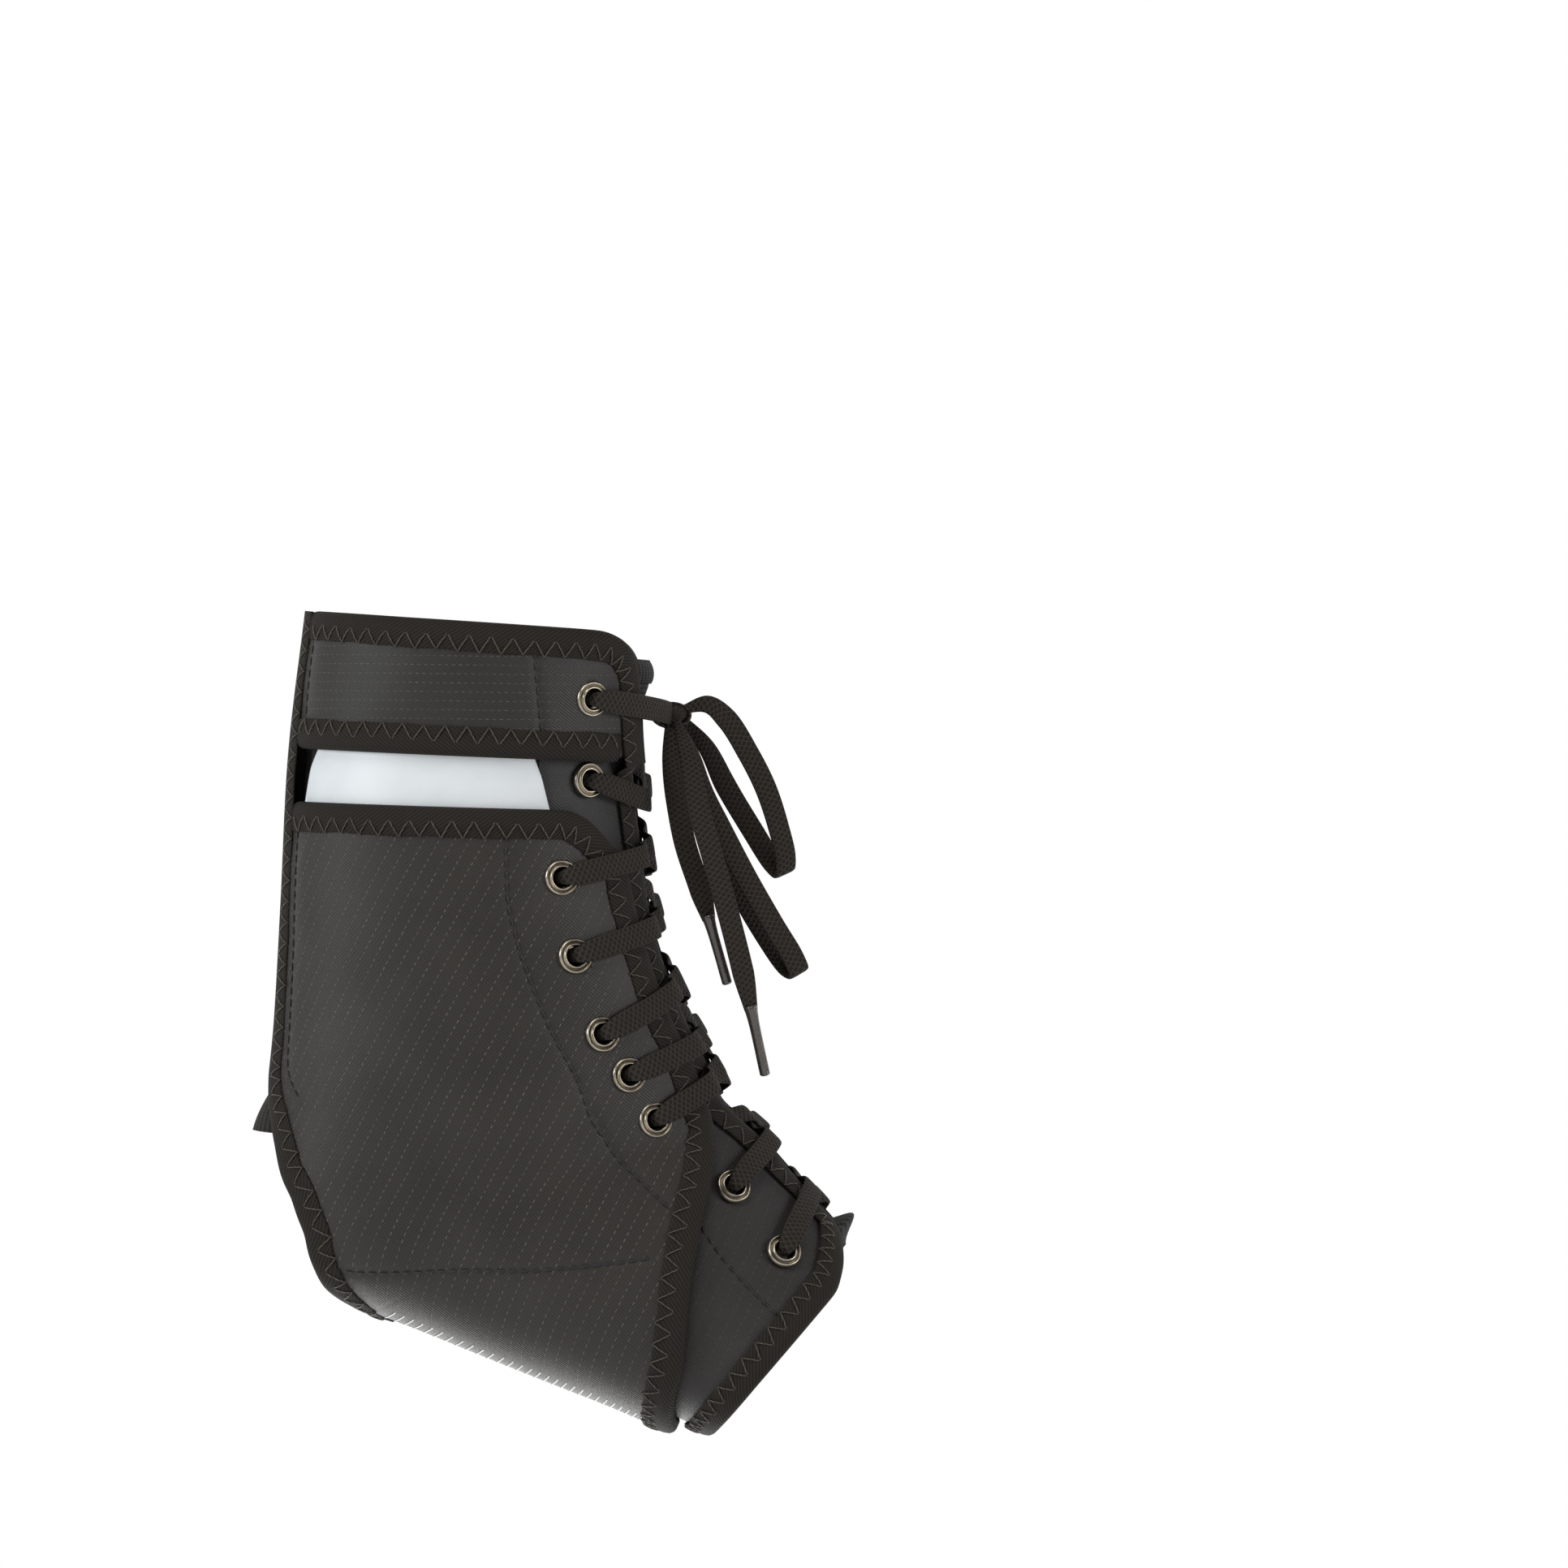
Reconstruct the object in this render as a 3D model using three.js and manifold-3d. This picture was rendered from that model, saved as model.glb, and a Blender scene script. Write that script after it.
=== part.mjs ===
// Lace-up ankle brace in its worn shape, with its forefoot end pointing down and forward.
// Millimetres, Z up, the forefoot end along +X, the brace's outer (near) side towards -Y.
// The origin is inside the brace, in the middle plane at the bend between shaft and sole.
import * as THREE from 'three';
import Module from 'manifold-3d';

const wasm = await Module();
wasm.setup();

// Height and depth of the worn brace, and the half width of the space inside it
const HEIGHT = 217;
const DEPTH = 160;
const HALF_WIDTH = 36.5;

// How far the inner face lies inside the outline that the sections give
const FRONT_INSET = 2.2;
const BACK_INSET = 6.5;

// Thicknesses and the clear space left between two layers
const SHELL = 2.0;
const LAYER_GAP = 0.6;
const OVERLAY = 1.3;
const STAY = 1.2;
const TAPE = 0.7;
const TAPE_GAP = 0.6;
const TAPE_WIDTH = 6.2;
const TONGUE = 2.4;
const BACK_WEB = 1.2;

// Front opening, rear opening and the sole seam, measured from the middle plane
const FRONT_HALF_GAP = 9.5;
const BACK_HALF_GAP = 5;
const SEAM_HALF_GAP = 0.2;

// Eyelets and the flat lace
const EYELET = { hole: 2.6, barrel: 3.0, cut: 3.4, flange: 4.65, rise: 1.2, sides: 8 };
const LACE = { width: 6.0, thickness: 1.0, throat: 3.2, step: 12 };

// Facets of a pierced panel that lie within this much of one plane are joined
const FLATNESS = 0.2;

// Columns of the cloth grid, the same for every layer so that the layers' facets lie parallel
const COLUMNS = [0.07, 0.14, 0.24, 0.35, 0.47, 0.59, 0.71, 0.82, 0.92];

const NEAR = -1;
const FAR = 1;

// Sections of the brace's inner face. Each is a line in the middle plane from the front line to
// the back line or the sole, with a rounded half outline to each side.
// Places are shares of DEPTH and HEIGHT, widths shares of HALF_WIDTH.
const SECTION_COLUMNS = ['frontX', 'frontZ', 'backX', 'backZ', 'width', 'widest', 'frontPower', 'backPower'];
const SECTIONS = [
  [0.323, 0.524, -0.242, 0.553, 0.97, 0.50, 2.0, 2.0],
  [0.310, 0.369, -0.269, 0.387, 0.94, 0.50, 2.0, 2.0],
  [0.328, 0.207, -0.282, 0.207, 0.92, 0.50, 2.0, 2.0],
  [0.378, 0.092, -0.295, 0.065, 0.94, 0.50, 2.0, 1.9],
  [0.425, 0.024, -0.310, -0.027, 0.93, 0.50, 2.0, 1.9],
  [0.451, -0.016, -0.335, -0.145, 0.88, 0.48, 2.0, 2.0],
  [0.479, -0.036, -0.276, -0.239, 0.86, 0.50, 2.0, 2.2],
  [0.512, -0.063, -0.113, -0.284, 0.88, 0.54, 2.0, 2.3],
  [0.553, -0.105, 0.106, -0.348, 0.92, 0.57, 2.0, 2.4],
  [0.606, -0.157, 0.287, -0.401, 0.96, 0.60, 2.1, 2.5],
  [0.669, -0.208, 0.412, -0.442, 1.00, 0.60, 2.2, 2.5],
];

// Outlines. "along" is the share of the way from the top section to the last one, "around" the
// share of the half girth from the front line (0) to the back line or the sole (1).
const BASE_FRONT = [
  [0.000, 0.255], [0.004, 0.215], [0.015, 0.180], [0.032, 0.160], [0.065, 0.145], [0.110, 0.120],
  [0.160, 0.100], [0.310, 0.090], [0.600, 0.084], [0.920, 0.088], [0.938, 0.115], [0.955, 0.165],
  [0.972, 0.215], [0.990, 0.290],
];
const HEEL_EDGE = [
  [0.360, 0.965], [0.400, 0.945], [0.446, 0.897], [0.500, 0.856], [0.556, 0.846], [0.610, 0.868],
  [0.650, 0.908], [0.675, 0.945], [0.690, 1.000],
];
const OVERLAY_FRONT = [
  [0.1335, 0.300], [0.141, 0.262], [0.151, 0.235], [0.161, 0.205], [0.172, 0.186], [0.210, 0.174],
  [0.290, 0.166], [0.367, 0.156], [0.455, 0.142], [0.530, 0.142], [0.612, 0.158], [0.690, 0.208],
  [0.745, 0.280], [0.803, 0.400], [0.839, 0.485], [0.874, 0.573], [0.903, 0.650], [0.925, 0.760],
  [0.938, 0.860], [0.944, 0.950],
];
const STAY_FRONT = [
  [0.020, 0.480], [0.045, 0.410], [0.095, 0.375], [0.130, 0.350], [0.165, 0.400], [0.230, 0.430],
  [0.450, 0.430], [0.550, 0.450], [0.600, 0.500],
];
const STAY_BACK = [
  [0.020, 0.720], [0.045, 0.800], [0.095, 0.845], [0.130, 0.860], [0.165, 0.800], [0.220, 0.740],
  [0.450, 0.718], [0.550, 0.715], [0.600, 0.680],
];

// Ends of the overlays and of the stay
const BAND_END = 0.0915;
const OVERLAY_START = 0.1335;
const OVERLAY_END = 0.944;
const STAY_START = 0.020;
const STAY_END = 0.600;
const FOREFOOT_END = 0.990;

// Eyelets from the top down: place on the inner face, and the layer each one is set in
const EYELET_COLUMNS = ['along', 'around', 'layer', 'crossing'];
const EYELETS = [
  [0.048, 0.273, 'overlay', 0.057],
  [0.109, 0.249, 'base', 0.107],
  [0.177, 0.328, 'overlay', 0.150],
  [0.243, 0.319, 'overlay', 0.195],
  [0.332, 0.300, 'overlay', 0.263],
  [0.402, 0.271, 'overlay', 0.327],
  [0.511, 0.234, 'overlay', 0.400],
  [0.766, 0.234, 'base', 0.636],
  [0.894, 0.294, 'base', 0.830],
];

// The knot and the bow. Places are counted from the knot: ahead as a share of BOW_REACH,
// aside (+ is the far side) as a share of BOW_REACH, below as a share of BOW_DROP.
// The row at the knot gives only the direction in which the lace leaves it.
// turn is the angle of the lace's width out of the side-to-side direction, in degrees.
const KNOT = { along: 0.057, lift: 8.2, radii: [5.2, 4.8, 3.4], clearance: 0.3, entry: 4.1 };
const BOW_REACH = 34;
const BOW_DROP = 95;
const BOW_COLUMNS = ['ahead', 'aside', 'below', 'turn', 'width'];
const UPPER_LOOP = [
  [0.17, 0.00, -0.03, 80, 0.35], [0.27, 0.03, -0.03, 70, 0.8], [0.42, 0.05, 0.01, 70, 1], [0.58, 0.07, 0.10, 70, 1],
  [0.72, 0.09, 0.20, 70, 1], [0.82, 0.11, 0.31, 65, 1], [0.87, 0.15, 0.39, 40, 1], [0.86, 0.20, 0.43, 0, 1],
  [0.79, 0.25, 0.41, -40, 1], [0.61, 0.29, 0.31, -70, 1], [0.41, 0.31, 0.19, -70, 1], [0.27, 0.27, 0.09, -70, 0.8],
  [0.16, 0.20, 0.01, -80, 0.35],
];
const LOWER_LOOP = [
  [0.10, -0.03, 0.045, 80, 0.35], [0.15, -0.05, 0.11, 70, 0.8], [0.23, -0.11, 0.20, 65, 1], [0.38, -0.17, 0.31, 70, 1],
  [0.57, -0.20, 0.44, 70, 1], [0.78, -0.20, 0.57, 65, 1], [0.93, -0.18, 0.66, 40, 1], [0.97, -0.14, 0.70, 0, 1],
  [0.90, -0.07, 0.69, -40, 1], [0.72, 0.00, 0.60, -70, 1], [0.48, 0.04, 0.45, -70, 1], [0.29, 0.06, 0.30, -70, 1],
  [0.19, 0.08, 0.17, -80, 0.8], [0.12, 0.11, 0.045, -80, 0.35],
];
const NEAR_END = [
  [-0.04, -0.10, 0.050, 80, 0.35], [0.00, -0.19, 0.12, 70, 0.8], [0.04, -0.36, 0.22, 70, 1],
  [0.11, -0.46, 0.35, 70, 1], [0.23, -0.47, 0.48, 70, 1], [0.29, -0.46, 0.555, 70, 0.6],
];
const FAR_END = [
  [0.08, -0.19, 0.025, 80, 0.35], [0.13, -0.38, 0.11, 70, 0.8], [0.21, -0.55, 0.25, 70, 1],
  [0.33, -0.58, 0.40, 70, 1], [0.46, -0.56, 0.57, 70, 1], [0.55, -0.52, 0.70, 70, 1], [0.61, -0.49, 0.80, 70, 0.6],
];
const AGLET = { radius: 1.7, length: 17, sides: 8 };

// Tongue and rear web, as shares of the way along and half widths in millimetres
const TONGUE_ROWS = [0.017, 0.034, 0.06, 0.1, 0.16, 0.22, 0.28, 0.34, 0.4, 0.47, 0.55, 0.63, 0.71, 0.79, 0.87, 0.95];
const TONGUE_HALF_WIDTH = 27;
const TONGUE_LIFT = -3.8;
const TONGUE_BULGE = 2.2;
const TONGUE_TOP = { bulge: 4.5, end: 0.085, binding: 0.017, bindingThickness: 0.8, bindingGap: 0.2 };
const WEB_ROWS = [0.008, 0.06, 0.12, 0.18, 0.24, 0.29, 0.33, 0.37, 0.40, 0.43];
const WEB_HALF_WIDTH = 15;
const WEB_LIFT = -1.4;

// Rows of the cloth grid, close together where an outline turns
const BASE_ROWS = [0, 0.004, 0.015, 0.032, 0.065, 0.11, 0.16, 0.22, 0.29, 0.36, 0.4, 0.446, 0.5, 0.556, 0.61, 0.65,
  0.675, 0.69, 0.735, 0.78, 0.83, 0.88, 0.92, 0.938, 0.955, 0.972, FOREFOOT_END];
const BAND_ROWS = [0, 0.004, 0.015, 0.032, 0.065, BAND_END];
const OVERLAY_ROWS = [OVERLAY_START, 0.141, 0.151, 0.161, 0.172, 0.22, 0.29, 0.36, 0.4, 0.446, 0.5, 0.556, 0.61, 0.65,
  0.675, 0.69, 0.735, 0.78, 0.83, 0.88, 0.905, 0.918, 0.925, 0.932, 0.938, OVERLAY_END];
const STAY_ROWS = [STAY_START, 0.045, 0.095, 0.13, 0.165, 0.22, 0.29, 0.36, 0.4, 0.446, 0.5, 0.556, STAY_END];

const MATERIALS = {
  shell: { color: 0x3a3c3f, roughness: 0.8, metalness: 0 },
  overlay: { color: 0x3b3835, roughness: 0.85, metalness: 0 },
  tape: { color: 0x2a2622, roughness: 0.9, metalness: 0 },
  stay: { color: 0xe6e9ea, roughness: 0.4, metalness: 0 },
  tongue: { color: 0x2f2e2d, roughness: 0.9, metalness: 0 },
  web: { color: 0x2b2927, roughness: 0.9, metalness: 0 },
  lace: { color: 0x26221e, roughness: 0.9, metalness: 0 },
  eyelet: { color: 0x8d8276, roughness: 0.3, metalness: 1 },
  aglet: { color: 0x1d1b1a, roughness: 0.3, metalness: 0 },
};

// Small helpers for tables and curves
const named = (columns, row) => Object.fromEntries(columns.map((name, i) => [name, row[i]]));

function between(table, x) {
  const last = table.length - 1;
  let i = 0;
  while (i < last - 1 && x > table[i + 1][0]) i += 1;
  const share = (x - table[i][0]) / (table[i + 1][0] - table[i][0]);
  return table[i][1] + (table[i + 1][1] - table[i][1]) * Math.min(1, Math.max(0, share));
}

function catmull(a, b, c, d, t) {
  return 0.5 * (2 * b + (c - a) * t + (2 * a - 5 * b + 4 * c - d) * t * t + (3 * b - a - 3 * c + d) * t ** 3);
}

// A smooth path through rows of numbers, cut into equal steps between the rows
function smoothPath(rows, steps) {
  const last = rows.length - 1;
  const row = (i) => rows[Math.min(last, Math.max(0, i))];
  const path = [];
  for (let i = 0; i < last; i += 1) {
    for (let k = 0; k < steps; k += 1) {
      path.push(rows[i].map((_, c) => catmull(row(i - 1)[c], row(i)[c], row(i + 1)[c], row(i + 2)[c], k / steps)));
    }
  }
  path.push(rows[last]);
  return path;
}

// The inner face of the brace
const girths = new Map();

function tableRow(along) {
  const last = SECTIONS.length - 1;
  const i = Math.min(last - 1, Math.max(0, Math.floor(along * last)));
  const t = along * last - i;
  const before = (c) => (i > 0 ? SECTIONS[i - 1][c] : 2 * SECTIONS[0][c] - SECTIONS[1][c]);
  const after = (c) => (i < last - 1 ? SECTIONS[i + 2][c] : 2 * SECTIONS[last][c] - SECTIONS[last - 1][c]);
  const row = SECTION_COLUMNS.map((_, c) => catmull(before(c), SECTIONS[i][c], SECTIONS[i + 1][c], after(c), t));
  return named(SECTION_COLUMNS, row);
}

// The section with both of its ends moved in from the outline by the insets
function sectionAt(along) {
  const section = tableRow(along);
  const [above, below] = [tableRow(along - 0.01), tableRow(along + 0.01)];
  [['frontX', 'frontZ', FRONT_INSET], ['backX', 'backZ', -BACK_INSET]].forEach(([x, z, inset]) => {
    const slopeX = DEPTH * (below[x] - above[x]);
    const slopeZ = HEIGHT * (below[z] - above[z]);
    const length = Math.hypot(slopeX, slopeZ);
    section[x] += (inset * slopeZ) / length / DEPTH;
    section[z] -= (inset * slopeX) / length / HEIGHT;
  });
  return section;
}

function outlinePoint(section, turn) {
  const c = Math.cos(turn);
  const power = c >= 0 ? section.frontPower : section.backPower;
  const reach = Math.abs(c) ** (2 / power);
  const share = c >= 0 ? section.widest * (1 - reach) : section.widest + (1 - section.widest) * reach;
  return new THREE.Vector3(
    DEPTH * (section.frontX + (section.backX - section.frontX) * share),
    HALF_WIDTH * section.width * Math.abs(Math.sin(turn)) ** (2 / power),
    HEIGHT * (section.frontZ + (section.backZ - section.frontZ) * share),
  );
}

function girthAt(along) {
  const key = along.toFixed(6);
  if (!girths.has(key)) {
    const section = sectionAt(along);
    const turns = Array.from({ length: 161 }, (_, i) => (Math.PI * i) / 160);
    const points = turns.map((turn) => outlinePoint(section, turn));
    const lengths = [0];
    for (let i = 1; i < points.length; i += 1) lengths.push(lengths[i - 1] + points[i].distanceTo(points[i - 1]));
    girths.set(key, { section, turns, lengths, total: lengths[lengths.length - 1] });
  }
  return girths.get(key);
}

const halfGirth = (along) => girthAt(along).total;
const shareOf = (along, millimetres) => millimetres / halfGirth(along);

function innerPoint(along, around, side) {
  const girth = girthAt(along);
  let flip = 1;
  let share = around;
  if (share < 0) { share = -share; flip = -1; }
  if (share > 1) { share = 2 - share; flip = -1; }
  const wanted = share * girth.total;
  let i = 0;
  while (i < girth.lengths.length - 2 && girth.lengths[i + 1] < wanted) i += 1;
  const part = (wanted - girth.lengths[i]) / (girth.lengths[i + 1] - girth.lengths[i]);
  const point = outlinePoint(girth.section, girth.turns[i] + (girth.turns[i + 1] - girth.turns[i]) * part);
  point.y *= side * flip;
  return point;
}

function innerSlopes(along, around, side) {
  const e = 0.004;
  const down = innerPoint(along + e, around, side).sub(innerPoint(along - e, around, side)).divideScalar(2 * e);
  const round = innerPoint(along, around + e, side).sub(innerPoint(along, around - e, side)).divideScalar(2 * e);
  const normal = new THREE.Vector3().crossVectors(down, round).multiplyScalar(side).normalize();
  return { down, round, normal };
}

function onInner(along, around, lift, side) {
  return innerPoint(along, around, side).addScaledVector(innerSlopes(along, around, side).normal, lift);
}

// Lifts of the layers above the inner face: the stay lies in the pocket between the shell and the overlay
const STAY_LIFT = SHELL + LAYER_GAP;
const OVERLAY_LIFT = STAY_LIFT + STAY + LAYER_GAP;
const OVERLAY_TOP = OVERLAY_LIFT + OVERLAY;

// Edges of the panels as functions of "along"
const baseFront = (along) => Math.max(shareOf(along, FRONT_HALF_GAP), between(BASE_FRONT, along));
const seamEdge = (along) => 1 - shareOf(along, SEAM_HALF_GAP);
function baseBack(along) {
  const straight = 1 - shareOf(along, BACK_HALF_GAP);
  if (along >= HEEL_EDGE[HEEL_EDGE.length - 1][0]) return seamEdge(along);
  return along > HEEL_EDGE[0][0] ? Math.min(straight, between(HEEL_EDGE, along)) : straight;
}
const overlayFront = (along) => between(OVERLAY_FRONT, along);

// Closed bodies
function body(points, triangles) {
  const at = (i) => points[i];
  const cross = new THREE.Vector3();
  const volume = triangles.reduce((sum, [a, b, c]) => sum + at(a).dot(cross.crossVectors(at(b), at(c))), 0);
  const faces = volume < 0 ? triangles.map(([a, b, c]) => [a, c, b]) : triangles;
  const geometry = new THREE.BufferGeometry();
  geometry.setAttribute('position', new THREE.Float32BufferAttribute(points.flatMap((p) => [p.x, p.y, p.z]), 3));
  geometry.setIndex(faces.flat());
  return geometry;
}

// A body from rings of points, one after the other; flat is the ring's outline for the two end caps
function sweep(rings, flat) {
  const n = rings[0].length;
  const points = rings.flat();
  const triangles = [];
  const closed = !flat;
  const spans = closed ? rings.length : rings.length - 1;
  for (let i = 0; i < spans; i += 1) {
    const j = (i + 1) % rings.length;
    for (let k = 0; k < n; k += 1) {
      const m = (k + 1) % n;
      triangles.push([i * n + k, j * n + k, j * n + m], [i * n + k, j * n + m, i * n + m]);
    }
  }
  if (!closed) {
    const contour = flat.map(([x, y]) => new THREE.Vector2(x, y));
    const start = (rings.length - 1) * n;
    THREE.ShapeUtils.triangulateShape(contour, []).forEach((corners) => {
      const sameWay = THREE.ShapeUtils.area(corners.map((c) => contour[c])) * THREE.ShapeUtils.area(contour) > 0;
      const [a, b, c] = sameWay ? corners : [...corners].reverse();
      triangles.push([a, b, c], [start + a, start + c, start + b]);
    });
  }
  return body(points, triangles);
}

// A panel of cloth between two lifts, with rows of points from its front to its back edge
function panel(rows, front, back, inner, outer, side) {
  const lattice = [...COLUMNS.map((k) => -k), 0, ...COLUMNS, 1, ...COLUMNS.map((k) => 2 - k)].sort((a, b) => a - b);
  const grid = rows.map((along) => {
    const f = front(along);
    const b = back(along);
    return { along, arounds: [f, ...lattice.filter((k) => k > f + 0.03 && k < b - 0.03), b] };
  });
  const points = [];
  const index = grid.map(({ along, arounds }) => arounds.map((around) => {
    const lifts = [outer, inner].map((lift) => (typeof lift === 'function' ? lift(along, around) : lift));
    points.push(...lifts.map((lift) => onInner(along, around, lift, side)));
    return points.length - 2;
  }));
  const triangles = [];
  const pair = (a, b, c) => triangles.push([a, b, c], [a + 1, c + 1, b + 1]);
  const wall = (a, b) => triangles.push([a, b + 1, a + 1], [a, b, b + 1]);
  for (let r = 0; r < grid.length - 1; r += 1) {
    const [upper, lower] = [grid[r].arounds, grid[r + 1].arounds];
    let i = 0;
    let j = 0;
    while (i < upper.length - 1 || j < lower.length - 1) {
      const stepUpper = j === lower.length - 1 || (i < upper.length - 1 && upper[i + 1] <= lower[j + 1] + 1e-9);
      if (stepUpper) {
        pair(index[r][i], index[r][i + 1], index[r + 1][j]);
        i += 1;
      } else {
        pair(index[r][i], index[r + 1][j + 1], index[r + 1][j]);
        j += 1;
      }
    }
    wall(index[r][0], index[r + 1][0]);
    wall(index[r + 1].at(-1), index[r].at(-1));
  }
  for (let i = 0; i < index[0].length - 1; i += 1) wall(index[0][i + 1], index[0][i]);
  for (let i = 0; i < index.at(-1).length - 1; i += 1) wall(index.at(-1)[i], index.at(-1)[i + 1]);
  return body(points, triangles);
}

// Edge tape: a strip over the outer face and the edge of a panel, swept along that edge. inward is +1 or -1 for the side of the
// path the cloth lies on; at the sole seam the tape ends straight across the middle plane.
function edgeTape(path, profile, inward, side) {
  const points = path.map(([along, around]) => innerPoint(along, around, side));
  const rings = path.map(([along, around], i) => {
    const { down, round, normal } = innerSlopes(along, around, side);
    const tangent = points[Math.min(i + 1, points.length - 1)].clone().sub(points[Math.max(i - 1, 0)]);
    if (around > seamEdge(along) - 0.001) tangent.copy(round).multiplyScalar(Math.sign(round.dot(tangent)));
    const across = new THREE.Vector3().crossVectors(tangent, normal).normalize().multiplyScalar(inward * side);
    const aa = down.dot(down);
    const ab = down.dot(round);
    const bb = round.dot(round);
    const det = aa * bb - ab * ab;
    const stepDown = (down.dot(across) * bb - round.dot(across) * ab) / det;
    const stepRound = (round.dot(across) * aa - down.dot(across) * ab) / det;
    return profile(along, around).map(([distance, lift]) => (
      onInner(along + distance * stepDown, around + distance * stepRound, lift, side)));
  });
  return sweep(rings, profile(...path[0]));
}

// The tape's section: a flange over the top and a wall down past the edge
function tapeProfile(bottom, top) {
  const high = top + TAPE_GAP + TAPE;
  const wall = -TAPE_GAP - TAPE;
  return [
    [TAPE_WIDTH, high], [wall, high], [wall, bottom], [wall + TAPE, bottom],
    [wall + TAPE, high - TAPE], [TAPE_WIDTH, high - TAPE],
  ];
}

// Cutting the eyelet holes
function solidOf(geometry) {
  return new wasm.Manifold(new wasm.Mesh({
    numProp: 3,
    vertProperties: new Float32Array(geometry.attributes.position.array),
    triVerts: new Uint32Array(geometry.index.array),
  }));
}
function geometryOf(solid) {
  const mesh = solid.getMesh();
  const geometry = new THREE.BufferGeometry();
  geometry.setAttribute('position', new THREE.Float32BufferAttribute(mesh.vertProperties, 3));
  geometry.setIndex([...mesh.triVerts]);
  return geometry;
}
function turned(centre, axis, profile, sides) {
  const u = new THREE.Vector3(0, 0, 1).cross(axis).normalize();
  const v = new THREE.Vector3().crossVectors(axis, u);
  return Array.from({ length: sides }, (_, i) => {
    const angle = (2 * Math.PI * i) / sides;
    return profile.map(([radius, height]) => centre.clone().addScaledVector(axis, height)
      .addScaledVector(u, radius * Math.cos(angle)).addScaledVector(v, radius * Math.sin(angle)));
  });
}
function rod(centre, axis, radius, low, high, sides) {
  const rings = turned(centre, axis, [[radius, low], [radius, high]], sides);
  const outline = [0, 1].map((k) => rings.map((ring) => ring[k]));
  return sweep(outline, rings.map((_, i) => [Math.cos((2 * Math.PI * i) / sides), Math.sin((2 * Math.PI * i) / sides)]));
}
function pierced(geometry, eyelets, side) {
  const solid = eyelets.reduce((rest, { along, around }) => {
    const { normal } = innerSlopes(along, around, side);
    return rest.subtract(solidOf(rod(innerPoint(along, around, side), normal, EYELET.cut, -4, 9, EYELET.sides)));
  }, solidOf(geometry));
  return geometryOf(solid.simplify(FLATNESS));
}

const eyelets = EYELETS.map((row) => named(EYELET_COLUMNS, row));
const layerTop = (eyelet) => (eyelet.layer === 'base' ? SHELL : OVERLAY_TOP);

function eyeletRing(eyelet, side) {
  const { normal } = innerSlopes(eyelet.along, eyelet.around, side);
  const top = layerTop(eyelet) + 0.5;
  const profile = [
    [EYELET.hole, -0.4], [EYELET.barrel, -0.4], [EYELET.barrel, top], [EYELET.flange, top],
    [EYELET.hole, top + EYELET.rise],
  ];
  return sweep(turned(innerPoint(eyelet.along, eyelet.around, side), normal, profile, EYELET.sides));
}

// One station of a flat lace: a rectangle across the path
function laceRing(place, across, through, width, thickness) {
  const a = across.clone().normalize().multiplyScalar(width / 2);
  const b = through.clone().normalize().multiplyScalar(thickness / 2);
  return [[1, 1], [-1, 1], [-1, -1], [1, -1]].map(([p, q]) => (
    place.clone().addScaledVector(a, p).addScaledVector(b, q)));
}
const LACE_OUTLINE = [[1, 1], [-1, 1], [-1, -1], [1, -1]];

// Stations of the lace from one eyelet over its own edge, across the tongue, under the far edge
// and on to the next eyelet up. d is the distance from the middle plane, positive on the lace's
// starting side. Both laces cross a little to the near side, where the leader lies on top.
const OVER_BASE = SHELL + 0.5 + EYELET.rise + 0.9;
const OVER_OVERLAY = OVERLAY_TOP + 0.5 + EYELET.rise + 0.9;
const UNDER = -1.7;
const CROSSING_OFFSET = 4;
const CROSSING_SLOPE = 0.45;

// Distances along a lace leg: where it leaves its eyelet and reaches the next, and where it has
// risen onto the edge tape
const LEG = { leave: 5, arrive: 3.5, foot: 17, edge: 14.2 };

function laceLeg(from, to, side, leader) {
  const start = from.around * halfGirth(from.along);
  const finish = -to.around * halfGirth(to.along);
  const high = from.layer === 'base' ? OVER_BASE : OVER_OVERLAY;
  const edge = from.along < BAND_END ? OVER_OVERLAY : OVER_BASE;
  const perAlong = innerPoint(from.crossing + 0.01, 0, side).distanceTo(innerPoint(from.crossing - 0.01, 0, side)) / 0.02;
  const slope = CROSSING_SLOPE / perAlong;
  const crossAt = leader ? CROSSING_OFFSET : -CROSSING_OFFSET;
  const gap = FRONT_HALF_GAP;
  const mid = (d) => from.crossing + slope * (d - crossAt);
  const alongAt = (d) => {
    if (d > gap) return mid(gap) + ((from.along - mid(gap)) * (d - gap)) / (start - gap);
    if (d < -gap) return mid(-gap) + ((to.along - mid(-gap)) * (d + gap)) / (finish + gap);
    return mid(d);
  };
  const stations = [];
  const add = (d, lift, width = LACE.width) => stations.push({ d, lift, width, along: alongAt(d) });
  const spread = (a, b, step, lift) => {
    const count = Math.ceil(Math.abs(b - a) / step);
    for (let i = 0; i <= count; i += 1) add(a + ((b - a) * i) / count, lift);
  };
  spread(start - LEG.leave, LEG.foot, LACE.step, high);
  add(LEG.edge, edge);
  add(gap - 1.3, edge);
  const narrow = LACE.width * 0.86;
  const bed = leader ? [[4.5, 1.6], [-1.5, 1.4], [-5, -0.4]] : [[5, 0.9], [3, 0], [-4.5, 0]];
  bed.forEach(([d, lift]) => add(d, lift, narrow));
  add(-8.2, -1.3, narrow);
  spread(-10.8, finish + LEG.arrive, LACE.step * 1.4, UNDER);
  return stations.map((station) => ({ ...station, around: shareOf(station.along, station.d), side }));
}

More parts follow.
